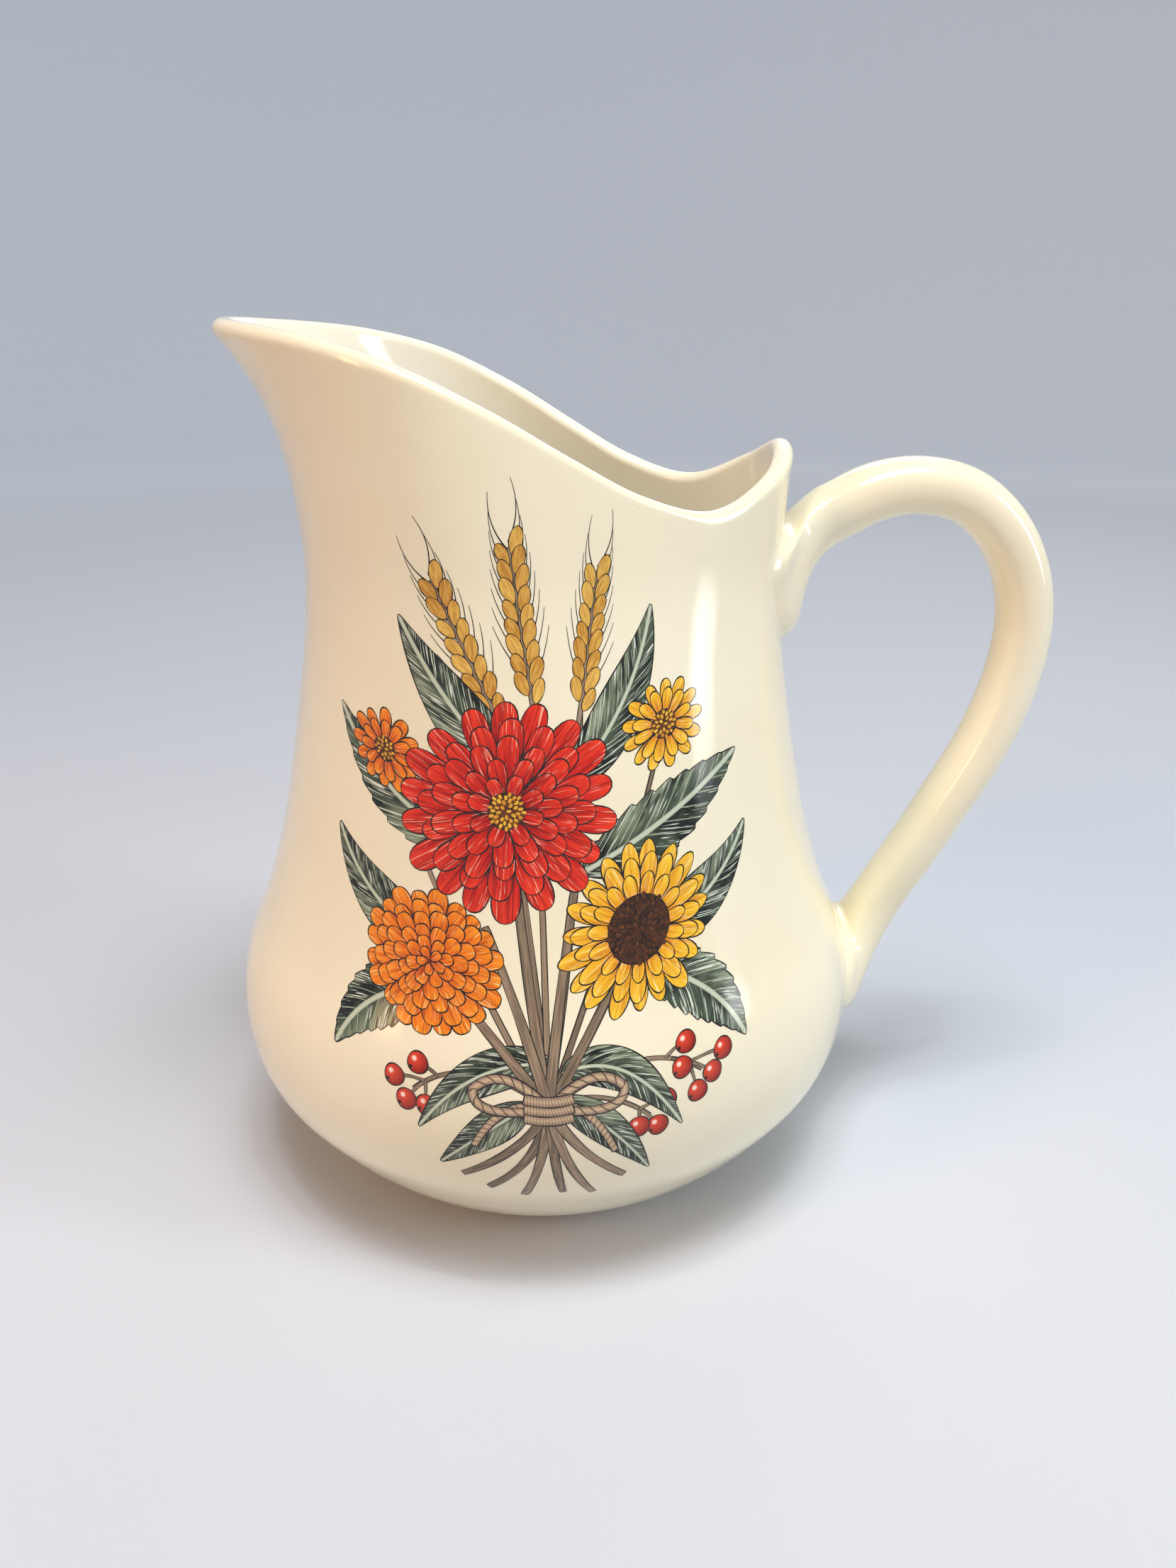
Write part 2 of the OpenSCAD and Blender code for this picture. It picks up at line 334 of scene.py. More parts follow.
# %% Geometry trees, and their result as a plain mesh
def new_tree(name, sizes):
    """A Geometry Nodes tree with a geometry output and named inputs, each (type, value)."""
    tree = bpy.data.node_groups.new(name, "GeometryNodeTree")
    tree.interface.new_socket("Geometry", in_out="OUTPUT", socket_type="NodeSocketGeometry")
    for label, (kind, value) in sizes.items():
        socket = tree.interface.new_socket(label, in_out="INPUT", socket_type=f"NodeSocket{kind}")
        if value is not None:
            socket.default_value = value
    return tree, tree.nodes.new("NodeGroupInput").outputs, tree.nodes.new("NodeGroupOutput")


def grown(name, tree, **values):
    """Runs a tree on an empty object with these inputs, and returns a plain mesh object."""
    carrier = new_object(name + "_carrier", bpy.data.meshes.new(name))
    modifier = carrier.modifiers.new("grow", "NODES")
    modifier.node_group = tree
    for item in tree.interface.items_tree:
        if item.item_type == "SOCKET" and item.in_out == "INPUT" and item.name in values:
            modifier[item.identifier] = values[item.name]
    graph = bpy.context.evaluated_depsgraph_get()
    graph.update()
    evaluated = carrier.evaluated_get(graph)
    mesh = bpy.data.meshes.new_from_object(evaluated, preserve_all_data_layers=True, depsgraph=graph)
    carrier.modifiers.remove(modifier)
    bpy.data.objects.remove(carrier)
    mesh.name = name
    return new_object(name, mesh)


# %% [markdown]
# ## The glaze
#
# The glaze is a thick, warm ivory, very glossy coat over pale clay. It hides the clay, so one
# shader does: a light colour, a glass-like reflection (refractive index 1.5, as glaze is a
# glass) and a low roughness. Three things keep it from looking like plastic. The colour is a
# little uneven, in clouds some centimetres wide, with a few faint specks. The surface swells
# softly, because glaze runs as it melts, and that bends the reflections. And there is a fine
# orange peel, a few thousandths of a millimetre deep. Inside the mouth the glaze is painted
# paler: a painted brightening that stands in for the light falling into the mouth. The
# attribute on the body's points tells the shader where that is.
#
# All of them read Object coordinates, which are metres here, so a pattern whose features are
# some millimetres wide gets a scale of 1 over that width in metres. Colours are typed as in a
# paint program and turned to linear light.


# %% Colours and coats
def paint(code):
    """A colour typed as in a paint program, as linear light."""
    parts = [int(code[i:i + 2], 16) / 255 for i in (1, 3, 5)]
    return tuple(v / 12.92 if v <= 0.04045 else ((v + 0.055) / 1.055) ** 2.4 for v in parts) + (1,)


def new_finish(name, roughness, ior):
    finish = bpy.data.materials.new(name)
    finish.use_nodes = True
    shader = finish.node_tree.nodes["Principled BSDF"]
    shader.inputs["Roughness"].default_value = roughness
    shader.inputs["IOR"].default_value = ior
    return finish, finish.node_tree, shader


def coat(tree, shader, base, coats):
    """Lays coats over a base colour: each has a colour, where it lies, and how much at most."""
    colour = paint(base)
    for code, where, most in coats:
        if most < 1:
            where = add(tree, "MULTIPLY", where, most)
        colour = add(tree, MIX, {0: where, 6: colour, 7: paint(code)}, data_type="RGBA")
    tree.links.new(colour.outputs[2], shader.inputs["Base Color"])


# %% Ivory glaze
# The real one is a layer of glass melted on to the clay. It gives the eye sharp reflections
# over a soft, even tone. Widths and depths are in mm. The real orange peel is too fine to show
# in the render, so it is drawn coarser, at 2.4 mm
GLAZE_ROUGHNESS, GLAZE_IOR = 0.07, 1.5
SWELL, SWELL_DEPTH = 35.7, 0.22
PEEL, PEEL_DEPTH = 2.38, 0.006
CLOUD, SPECK_GAP, SPECK_EDGE, SPECK_CORE = 45.5, 10.53, 0.53, 0.32


def glaze_relief(tree, shader):
    """The soft swell and fine orange peel that every glazed piece shares."""
    place = add(tree, "ShaderNodeTexCoord").outputs["Object"]
    swell = add(tree, NOISE, {"Vector": place, "Scale": 1 / (SWELL * MM), "Detail": 1})
    peel = add(tree, NOISE, {"Vector": place, "Scale": 1 / (PEEL * MM), "Detail": 2})
    soft = add(tree, BUMP, {"Height": swell, "Strength": 1, "Distance": SWELL_DEPTH * MM})
    both = add(tree, BUMP, {"Height": peel, "Normal": soft, "Strength": 1, "Distance": PEEL_DEPTH * MM})
    tree.links.new(both.outputs["Normal"], shader.inputs["Normal"])
    return place


ivory_glaze, tree, shader = new_finish("ivory_glaze", GLAZE_ROUGHNESS, GLAZE_IOR)
place = glaze_relief(tree, shader)
clouds = add(tree, NOISE, {"Vector": place, "Scale": 1 / (CLOUD * MM), "Detail": 3})
specks = add(tree, "ShaderNodeTexVoronoi", {"Vector": place, "Scale": 1 / (SPECK_GAP * MM), "Randomness": 1})
coat(tree, shader, "#EEE5C6", [
    ("#F3ECD2", add(tree, RAMP, clouds, 0.3, 0.7), 1),
    # Painted light: the inside of the mouth is painted paler, as if more light fell into it
    ("#F7F1DF", add(tree, "ShaderNodeAttribute", attribute_name="inside").outputs["Fac"], 1),
    ("#B9A27E", add(tree, RAMP, specks, SPECK_EDGE / SPECK_GAP, SPECK_CORE / SPECK_GAP), 0.1),
])
body.data.materials.append(ivory_glaze)
print("glaze on", body.name, "with", len(tree.nodes), "nodes")

# %% [markdown]
# ## The handle
#
# The strap is a main piece whose shape follows a rule, so Geometry Nodes make it. A flat
# grid has one row of points for each place along the strap. Each row is wrapped into a
# section, a shape between an oval and a rectangle, and set on the path: the path gives the
# row its place and its direction, and the strap gets thinner towards its lower end. The
# path is a curve through the handle's points, 13 in all, taken from the CAD model.
#
# Curve to Mesh would sweep a section too, but it scales the width with the thickness. The
# real strap keeps its width, so the wrapping is done with a few sums instead.

# %% The strap's path
handle_reach, handle_top, handle_low = 132, 187, 70
strap_t, strap_low_t, strap_w, fullness = 14.5, 12.5, 18, 0.86
PATH_POINTS = 241
# Share of the way out from the body, share of the way up
STRAP = [
    (0.004, 0.94), (0.186, 0.987), (0.389, 1), (0.606, 0.975), (0.796, 0.905), (0.93, 0.805), (0.988, 0.69),
    (0.969, 0.575), (0.889, 0.455), (0.756, 0.34), (0.57, 0.225), (0.368, 0.11), (0.137, 0),
]


def strap_path(s):
    """The strap's middle line in mm, for s from 0 at the neck to 1 at the belly."""
    s = np.asarray(s, float)
    v = np.array(STRAP)
    v = np.vstack([2 * v[0] - v[1], v, 2 * v[-1] - v[-2]])
    x = s * (len(STRAP) - 1)
    i = np.minimum(x.astype(int), len(STRAP) - 2)
    out, up = np.moveaxis(ease(v[i], v[i + 1], v[i + 2], v[i + 3], (x - i)[..., None]), -1, 0)
    base = neck_r + strap_t + (side_r(handle_low) + strap_low_t - neck_r - strap_t) * s
    reach, top = handle_reach - strap_t / 2, handle_top - strap_t / 2
    return np.stack([base + (reach - base) * out, 0 * s, handle_low + (top - handle_low) * up], -1)


path = strap_path(np.linspace(0, 1, PATH_POINTS))
print(f"the strap is {np.linalg.norm(np.diff(path, axis=0), axis=1).sum():.0f} mm long")

# %% The strap's tree: its inputs, and a grid beside the path
# Numbers reach the tree as inputs. The path reaches it as a mesh of one chain of edges
STRAP_ROWS, STRAP_AROUND = 120, 96
chain = bpy.data.meshes.new("strap_path")
chain.from_pydata((path * MM).tolist(), [(i, i + 1) for i in range(len(path) - 1)], [])
path_object = new_object("strap_path", chain)
t, given, result = new_tree("strap_along_path", {
    "Path": ("Object", None), "Glaze": ("Material", None),
    "Width": ("Float", (strap_w - 2 * INSET) * MM),
    "Upper thickness": ("Float", (strap_t - 4 * INSET) * MM),
    "Lower thickness": ("Float", (strap_low_t - 4 * INSET) * MM),
    "Fullness": ("Float", fullness), "Rows": ("Int", STRAP_ROWS + 1), "Around": ("Int", STRAP_AROUND + 1),
})
strap_tree = t
grid = add(t, "GeometryNodeMeshGrid", 1, 1, given["Rows"], given["Around"])
where = add(t, SPLIT, add(t, "GeometryNodeInputPosition"))
along = add(t, "ADD", where.outputs["X"], 0.5)
angle = add(t, "MULTIPLY", where.outputs["Y"], math.tau)
info = add(t, "GeometryNodeObjectInfo", {"Object": given["Path"]})
curve = add(t, "GeometryNodeMeshToCurve", {"Mesh": info.outputs["Geometry"]})
spot = add(t, "GeometryNodeSampleCurve", {"Curves": curve, "Factor": along}, mode="FACTOR", use_all_curves=True)
outward = add(t, VECTOR_MATH, spot.outputs["Tangent"], (0, 1, 0), operation="CROSS_PRODUCT")
print("the tree has", len(t.nodes), "nodes so far")


# %% The strap's tree: wrap each row into a section
def plump(wave):
    """Makes a sine fuller, so that an oval turns squarer."""
    size = add(t, "POWER", add(t, "ABSOLUTE", wave), given["Fullness"])
    return add(t, "MULTIPLY", size, add(t, "SIGN", wave))


thinner = add(t, "SUBTRACT", given["Lower thickness"], given["Upper thickness"])
thickness = add(t, "MULTIPLY_ADD", thinner, along, given["Upper thickness"])
half_thick = add(t, "MULTIPLY", thickness, 0.5)
half_wide = add(t, "MULTIPLY", given["Width"], 0.5)
rise = add(t, "MULTIPLY", plump(add(t, "COSINE", angle)), half_thick)
aside = add(t, "MULTIPLY", plump(add(t, "SINE", angle)), half_wide)
lifted = add(t, VECTOR_MATH, {0: outward, "Scale": rise}, operation="SCALE")
off = add(t, VECTOR_MATH, lifted, add(t, JOIN, {"Y": aside}), operation="ADD")
place = add(t, VECTOR_MATH, spot.outputs["Position"], off, operation="ADD")
wrapped = add(t, "GeometryNodeSetPosition", {"Geometry": grid, "Position": place})
real = add(t, "GeometryNodeRealizeInstances", wrapped)
glazed = add(t, "GeometryNodeSetMaterial", {"Geometry": real, "Material": given["Glaze"]})
t.links.new(glazed.outputs[0], result.inputs[0])
strap = grown("strap", strap_tree, Path=path_object, Glaze=ivory_glaze)
# Set Material leaves the first slot empty and adds the glaze after it
strap_glaze = strap.data.materials[-1]
print("strap:", len(strap.data.vertices), "points,", [slot and slot.name for slot in strap.data.materials])

# %% [markdown]
# ## The handle's roots
#
# Where a strap is stuck on, the potter smears its end out over the wall. Each root is a loft
# from the strap's end section to a patch on the wall: an oval below, a tongue that is broad
# at its top above. Every line of the loft is a Bezier curve that leaves along the strap. At
# the sides it comes down to the wall at a low angle, so that the clay runs out thin, and at
# the lower end almost square, so that the root ends in a blunt thumb's width of clay. A
# small hollow of glaze runs all round, as glaze gathers in a corner. The last rings go a
# little into the wall, so that no seam is left open.
#
# Strap and roots are one skin, because the glaze runs over them without a break.

# %% A root's outline on the wall
root_w, fillet = 46, 1.4
strap_points = np.array([v.co for v in strap.data.vertices]) / MM
strap_rings = strap_points.reshape(STRAP_ROWS + 1, STRAP_AROUND + 1, 3)[:, :-1]
turn = np.radians(np.arange(STRAP_AROUND) * 360 / STRAP_AROUND - 180)


def on_wall(y, z):
    """Point and direction of the wall at a distance from the mirror plane and a height."""
    angle = 0 * y
    for _ in range(6):
        r = np.linalg.norm(wall_p(angle, z)[:, :2], axis=1)
        angle = np.degrees(np.arcsin(y / r))
    return wall_p(angle, z), wall_n(angle, z)


def patch(way, top, high, spread, squareness, grow=0.0, share=1.0):
    """A root's outline on the wall, grown all round by some mm or shrunk by a share."""
    full = np.abs(np.cos(turn)) ** squareness + np.abs(np.sin(turn)) ** squareness
    r = share * full ** (-1 / squareness)
    up = -way * r * np.cos(turn)
    aside = (root_w / 2 + grow) * r * np.sin(turn) * (1 + spread * up)
    return on_wall(aside, top - high / 2 + (high / 2 + grow) * up)


print(f"each ring has {len(turn)} points")

# %% The lines of a root
# Top, height, spread, squareness; then at the top, sides and lower end: how long the line keeps
# to the strap, how long it keeps to its landing, and the angle at which it lands
UPPER = (172.5, 31.5, 0.22, 2.5, (0.37, 0.41, 0.52), (3.8, 9, 8.2), (75, 22, 80))
LOWER = (61.5, 27.5, 0, 2.2, (0.94, 0.6, 0.72), (3.4, 7, 6.8), (80, 35, 85))
LINE_ROWS, HOLLOW_ROWS = 24, 8
# The most of its gap that a line keeps to its landing, and the most of that for the hollow
NEAR, HOLLOW_NEAR = 0.5, 0.6
# The last rings: how far past the outline, as mm and as a share, and how deep in the wall
PAST, SHRUNK = 0.5, 0.5
DEPTHS = (0.02, 0.1, 0.8, 1.5)


def root_rings(start, direction, way, top, high, spread, squareness, leads, landings, slopes):
    shape = way, top, high, spread, squareness
    edge, n = patch(*shape, -fillet)
    wide, n_wide = patch(*shape)
    up = (-way * np.cos(turn))[:, None]
    blend = lambda v: v[1] + np.where(up > 0, v[0] - v[1], v[2] - v[1]) * up ** 2
    gap = np.linalg.norm(edge - start, axis=1, keepdims=True)
    slope = np.radians(blend(slopes))
    back = n * np.sin(slope) - unit(wide - edge) * np.cos(slope)
    keep = np.minimum(blend(landings), NEAR * gap)
    a, b, c = start, start + direction * blend(leads) * gap, edge + back * keep
    d = edge + back * np.minimum(fillet, HOLLOW_NEAR * keep)
    rings = [
        (1 - s) ** 3 * a + 3 * s * (1 - s) ** 2 * b + 3 * s * s * (1 - s) * c + s ** 3 * d
        for s in np.linspace(0, 1, LINE_ROWS + 1)[1:]
    ]
    hollow = np.linspace(0, 1, HOLLOW_ROWS + 1)[1:]
    rings += [(1 - s) ** 2 * d + 2 * s * (1 - s) * edge + s * s * wide for s in hollow]
    under, n_under = patch(*shape, PAST)
    middle, n_mid = patch(*shape, 0.0, SHRUNK)
    ends = ((wide, n_wide), (under, n_under), (under, n_under), (middle, n_mid))
    return rings[:-1] + [point - deep * n for deep, (point, n) in zip(DEPTHS, ends)]


# %% One skin for the strap and its roots
ends = unit(strap_path(np.array([0.002, 1])) - strap_path(np.array([0, 0.998])))
upper = root_rings(strap_rings[0], -ends[0], -1, *UPPER)
lower = root_rings(strap_rings[-1], ends[1], 1, *LOWER)
handle = skinned("glazed_handle", upper[::-1] + list(strap_rings) + lower)
if volume(handle) < 0:
    handle.data.flip_normals()
handle.data.materials.append(strap_glaze)
for made in (strap, path_object):
    bpy.data.objects.remove(made)
print(f"handle: {len(handle.data.polygons)} faces, {volume(handle):.0f} cubic cm of clay")

# %% [markdown]
# ## The print: how it is made
#
# A printed picture on a pot is one thin film, fired into the glaze. It has no relief, it
# follows the wall, and it shines like the rest. It could be a picture file on the body, but
# a drawing made of real outlines stays sharp from close by, and can be changed like any
# other shape. So the posy is drawn flat, in mm, from the back to the front, like a paper
# collage: each petal, leaf and seed is one polygon with a slightly larger one in ink under
# it. Then one triangulation cuts all of them at their crossings, each small face takes the
# paint of the topmost polygon, and the flat film is laid on the wall.
#
# What repeats in the drawing, petals round a flower, seeds in its middle and grains on an
# ear, is set out by Geometry Nodes. Their tree puts one outline on many points: on a ring,
# on a seed spiral, or in pairs along a line.

# %% The posy's tree: one outline
t, given, result = new_tree("outlines_in_order", {
    "Count": ("Int", 16), "Ring turn": ("Float", 0.0), "Ring radius": ("Float", 3.0),
    "Spiral step": ("Float", 0.0), "Line step": ("Float", 0.0), "Lean": ("Float", 0.0),
    "Length": ("Float", 15.0), "Width": ("Float", 7.0), "Base share": ("Float", 0.4),
    "Point": ("Float", 1.0), "Unevenness": ("Float", 0.08), "Seed": ("Int", 1),
    "Outline points": ("Int", 24), "Paint": ("Material", None),
})
print_tree = t
circle = {"Vertices": given["Outline points"], "Radius": 1}
outline = add(t, "GeometryNodeMeshCircle", circle, fill_type="NGON")
at = add(t, SPLIT, add(t, "GeometryNodeInputPosition"))
along = add(t, "MULTIPLY_ADD", at.outputs["X"], 0.5, 0.5)
# From its base to its tip the outline grows wider, and its point sharper or blunter
wider = add(t, "SUBTRACT", 1, given["Base share"])
narrow = add(t, "MULTIPLY_ADD", wider, along, given["Base share"])
bulge = add(t, "POWER", add(t, "ABSOLUTE", at.outputs["Y"]), given["Point"])
sided = add(t, "MULTIPLY", bulge, add(t, "SIGN", at.outputs["Y"]))
half = add(t, "MULTIPLY", given["Width"], 0.5)
across = add(t, "MULTIPLY", add(t, "MULTIPLY", sided, narrow), half)
reach = add(t, "MULTIPLY", along, given["Length"])
petal = add(t, "GeometryNodeSetPosition", {"Geometry": outline, "Position": add(t, JOIN, reach, across)})
print("one outline takes", len(t.nodes), "nodes")

# %% The posy's tree: many places
# On a ring each point turns by an equal share; on a spiral by the golden angle; on a line it
# changes sides
GOLDEN_ANGLE = math.pi * (3 - math.sqrt(5))
points = add(t, "GeometryNodePoints", {"Count": given["Count"]})
index = add(t, "GeometryNodeInputIndex")
on_spiral = add(t, "GREATER_THAN", given["Spiral step"], 0)
on_line = add(t, "GREATER_THAN", given["Line step"], 0)
off_spiral = add(t, "SUBTRACT", 1, on_spiral)
off_line = add(t, "SUBTRACT", 1, on_line)
golden = add(t, "MULTIPLY", index, GOLDEN_ANGLE)
share = add(t, "DIVIDE", add(t, "MULTIPLY", index, math.tau), given["Count"])
share = add(t, "MULTIPLY", share, off_spiral)
turned = add(t, "ADD", add(t, "MULTIPLY", golden, on_spiral), share)
angle = add(t, "ADD", given["Ring turn"], turned)
spiral = add(t, "MULTIPLY", add(t, "SQRT", index), given["Spiral step"])
radius = add(t, "ADD", given["Ring radius"], spiral)
ring_x, ring_y = (add(t, "MULTIPLY", radius, add(t, way, angle)) for way in ("COSINE", "SINE"))
side_sign = add(t, "MULTIPLY_ADD", add(t, "MODULO", index, 2), 2, -1)
line_x = add(t, "MULTIPLY", index, given["Line step"])
line_y = add(t, "MULTIPLY", side_sign, given["Ring radius"])
spots = {0: on_line, 4: add(t, JOIN, ring_x, ring_y), 5: add(t, JOIN, line_x, line_y)}
spot = add(t, MIX, spots, data_type="VECTOR")
placed = add(t, "GeometryNodeSetPosition", {"Geometry": points, "Position": spot})
print("the places take it to", len(t.nodes), "nodes")

# %% The posy's tree: headings, sizes and copies
SMALLEST, LARGEST = 0.9, 1.06
jitter = add(t, "FunctionNodeRandomValue", {2: -1, 3: 1, "Seed": given["Seed"]}, data_type="FLOAT")
leaning = add(t, "MULTIPLY", side_sign, given["Lean"])
leaning = add(t, "MULTIPLY", leaning, on_line)
heading = add(t, "ADD", add(t, "MULTIPLY", angle, off_line), leaning)
heading = add(t, "MULTIPLY_ADD", jitter, given["Unevenness"], heading)
other_seed = add(t, "ADD", given["Seed"], 7)
size = add(t, "FunctionNodeRandomValue", {2: SMALLEST, 3: LARGEST, "Seed": other_seed}, data_type="FLOAT")
copies = add(t, "GeometryNodeInstanceOnPoints", {
    "Points": placed, "Instance": petal, "Rotation": add(t, JOIN, {"Z": heading}), "Scale": size,
})
real = add(t, "GeometryNodeRealizeInstances", copies)
painted = add(t, "GeometryNodeSetMaterial", {"Geometry": real, "Material": given["Paint"]})
t.links.new(painted.outputs[0], result.inputs[0])
print("the posy's tree has", len(t.nodes), "nodes")

# %% The pen: outlines from back to front
# Measures are mm on the flat film: across from the middle of the decorated side, and up
drawing = []
rng = random.Random(11)
INK, THIN_INK = 0.28, 0.15


def offset(points, amount):
    """The outline moved outwards by a little, thick and thin as a hand draws it."""
    after, before = np.roll(points, -1, 0), np.roll(points, 1, 0)
    area = (points[:, 0] * after[:, 1] - after[:, 0] * points[:, 1]).sum()
    run = unit(after - before + 1e-9)
    wave = 1 + 0.3 * np.sin(np.arange(len(points)) * math.tau / len(points) * 3 + rng.uniform(0, 6))
    return points + np.sign(area) * amount * wave[:, None] * np.stack([run[:, 1], -run[:, 0]], 1)


def fine(points, step=1.5):
    """The outline with its long edges cut up, so that it can follow the wall."""
    after = np.roll(points, -1, 0)
    cuts = np.maximum(1, np.ceil(np.linalg.norm(after - points, axis=1) / step).astype(int))
    return np.vstack([a + (b - a) * np.arange(n)[:, None] / n for a, b, n in zip(points, after, cuts)])


def draw(points, finish, spine, half, ink=INK):
    """Adds one outline. The brush strokes will follow its middle line, the spine."""
    points, spine = np.asarray(points, float), np.asarray(spine, float)
    tint = rng.random()
    if ink:
        drawing.append((fine(offset(points, ink)), "ink", spine, half, tint))
    drawing.append((fine(points), finish, spine, half, tint))


# %% Stems and leaves
def bezier(a, b, c, count=40):
    s = np.linspace(0, 1, count)[:, None]
    a, b, c = (np.array(p, float) for p in (a, b, c))
    return (1 - s) ** 2 * a + 2 * s * (1 - s) * b + s * s * c


def strip(spine, half, finish, ink=INK):
    """A shape round a middle line, half being its half width at each place along it."""
    run = unit(np.gradient(spine, axis=0))
    aside = np.stack([-run[:, 1], run[:, 0]], 1) * np.broadcast_to(half, len(spine))[:, None]
    draw(np.vstack([spine + aside, (spine - aside)[::-1]]), finish, spine, float(np.max(half)), ink)


def stem(a, b, c, half=0.75):
    strip(bezier(a, b, c), np.linspace(half * 1.25, half * 0.8, 40), "stem", 0.22)


def leaf(a, b, c, width, teeth=0):
    """A leaf from its stalk a to its tip c, bent towards b, with or without a toothed edge."""
    s = np.linspace(0, 1, 61)
    half = width / 2 * np.sin(math.pi * s ** 0.72) ** 0.9 + 0.12
    if teeth:
        half = half * (1 + 0.16 * ((s * teeth) % 1 - 0.5))
    strip(bezier(a, b, c, 61), half, "leaf")


# %% Petals, discs and seeds
def rotated(points, angle):
    """Flat points turned about the origin."""
    c, s = math.cos(angle), math.sin(angle)
    return points @ np.array([[c, s], [-s, c]])


def set_out(place, turn=0.0, lie=1.0, lie_turn=0.0, finish="red", ink=INK, first_on_top=False, **numbers):
    """Draws what the tree sets out: turned, and flattened in one direction if it faces aside."""
    named = {key.replace("_", " "): value for key, value in numbers.items()}
    copies = grown("copies", print_tree, **named)
    points = np.array([v.co for v in copies.data.vertices])[:, :2]
    points = rotated(rotated(rotated(points, turn), -lie_turn) * (1, lie), lie_turn) + place
    for face in list(copies.data.polygons)[::-1 if first_on_top else 1]:
        shape = points[list(face.vertices)]
        n = len(shape)
        half = np.linalg.norm(shape[n // 4] - shape[-(n // 4)]) / 2
        draw(shape, finish, np.linspace(shape[n // 2], shape[0], 12), half, ink)
    bpy.data.objects.remove(copies)


def disc(place, radius, finish, lie=1.0, lie_turn=0.0, ink=INK):
    """A round outline, whose spine runs from its middle to the right."""
    t = np.radians(np.arange(0, 360, 10))
    shape = rotated(np.stack([np.cos(t), lie * np.sin(t)], 1) * radius, lie_turn)
    draw(shape + place, finish, np.array([place, place + np.array([radius, 0.0])]), radius, ink)


def flower(place, finish, rings, lie=1.0, lie_turn=0.0, seed=1):
    """Rings of petals, the outer first: (count, inner radius, length, width, base share, point)."""
    disc(place, rings[0][1] + rings[0][2] * 0.4, finish, lie, lie_turn, 0)
    for k, (count, inner, length, width, base, point) in enumerate(rings):
        set_out(place, 0, lie, lie_turn, finish, Count=count, Ring_turn=rng.uniform(0, 6),
                Ring_radius=float(inner), Length=float(length), Width=float(width), Base_share=base,
                Point=point, Unevenness=0.07, Seed=seed + k)


def eye(place, radius, finish, count, step, size, lie, lie_turn, ink=0.12):
    """The middle of a flower: a dark disc, and a spiral of seeds on it."""
    disc(place, radius, "seed", lie, lie_turn)
    set_out(place, 0, lie, lie_turn, finish, ink, Count=count, Spiral_step=step, Ring_radius=0.0,
            Length=size, Width=size * 0.72, Base_share=0.8, Point=0.9, Outline_points=10)


# %% The ears, at the back of the posy
def ear(root, tip, grains, size):
    """A bearded ear: grains in pairs along a stalk, each with its bristle, the lowest in front."""
    root, tip = np.array(root, float), np.array(tip, float)
    length = float(np.linalg.norm(tip - root))
    run = (tip - root) / length
    aside = np.array([-run[1], run[0]])
    for k in range(grains):
        start = root + run * length * (k + 1.5) / grains
        out = aside * (1 if k % 2 else -1) * size
        end = start + run * size * 2.2 + out * (1.1 - 0.7 * k / grains)
        strip(bezier(start, start + run * size + out * 0.75, end, 12), np.linspace(0.17, 0.06, 12), "ink", 0)
    strip(bezier(root - run * 3, root + run * length / 2, tip, 30), np.linspace(0.5, 0.3, 30), "stem", THIN_INK)
    set_out(root, math.atan2(run[1], run[0]), finish="straw", ink=0.2, first_on_top=True, Count=grains,
            Line_step=length / grains, Ring_radius=size * 0.12, Lean=0.36, Length=size,
            Width=size * 0.56, Base_share=0.7, Point=1.2, Unevenness=0.06, Outline_points=16)


TIE = (2, 56)
for root, tip, grains, size, bend in (
    ((-9, 142), (-23, 171), 15, 5.6, (-2, 100)),
    ((-1, 145), (-6, 178), 17, 5.8, (1, 100)),
    ((10, 143), (15, 172), 15, 5.6, (9, 100)),
):
    stem(TIE, bend, root, half=0.5)
    ear(root, tip, grains, size)
print(f"{len(drawing)} outlines so far")

# %% Leaves and small flowers
UPPER_YELLOW, UPPER_ORANGE = (31, 138), (-36, 133)
for tip, bend in ((UPPER_YELLOW, (16, 95)), (UPPER_ORANGE, (-16, 85))):
    stem(TIE, bend, tip, half=0.5)
for shape in (
    ((0, 124), (-20, 142), (-31, 163), 12), ((6, 126), (24, 144), (29, 164), 11),
    ((-14, 114), (-36, 121), (-50, 141), 13, 9), ((10, 108), (35, 119), (52, 129), 14, 9),
    ((-22, 90), (-43, 97), (-51, 113), 12), ((24, 92), (45, 97), (54, 112), 12),
    ((-24, 82), (-43, 78), (-51, 63), 13, 9), ((24, 86), (43, 79), (51, 64), 13, 9),
):
    leaf(*shape)
flower(UPPER_YELLOW, "yellow", [(13, 3.2, 8, 3.8, 0.45, 0.95), (12, 2.6, 6, 3.4, 0.45, 0.95)], 0.86, 0.5, 3)
eye(UPPER_YELLOW, 3.3, "gold_seed", 26, 0.56, 1.1, 0.86, 0.5, 0)
flower(UPPER_ORANGE, "orange", [(12, 2.8, 7.5, 4, 0.5, 0.9), (11, 2.2, 5.5, 3.4, 0.5, 0.9)], 0.82, -0.6, 5)
eye(UPPER_ORANGE, 2.9, "gold_seed", 20, 0.54, 1, 0.82, -0.6, 0)
print(f"{len(drawing)} outlines so far")


# %% Sprigs of berries
def sprig(root, bend, tip, berries):
    """A thin twig with a berry on a short stalk at each place."""
    stem(root, bend, tip, half=0.4)
    spine = bezier(root, bend, tip)
    for place in berries:
        fork = spine[np.linalg.norm(spine - place, axis=1).argmin() - 4]
        stalk = bezier(fork, (fork + place) / 2 + (0, 0.8), place, 12)
        strip(stalk, np.linspace(0.3, 0.22, 12), "stem", THIN_INK)
    for place in berries:
        disc(place, 2.4, "berry")
        disc(np.array(place) + (-1.7, -1.1), 0.4, "ink", ink=0)


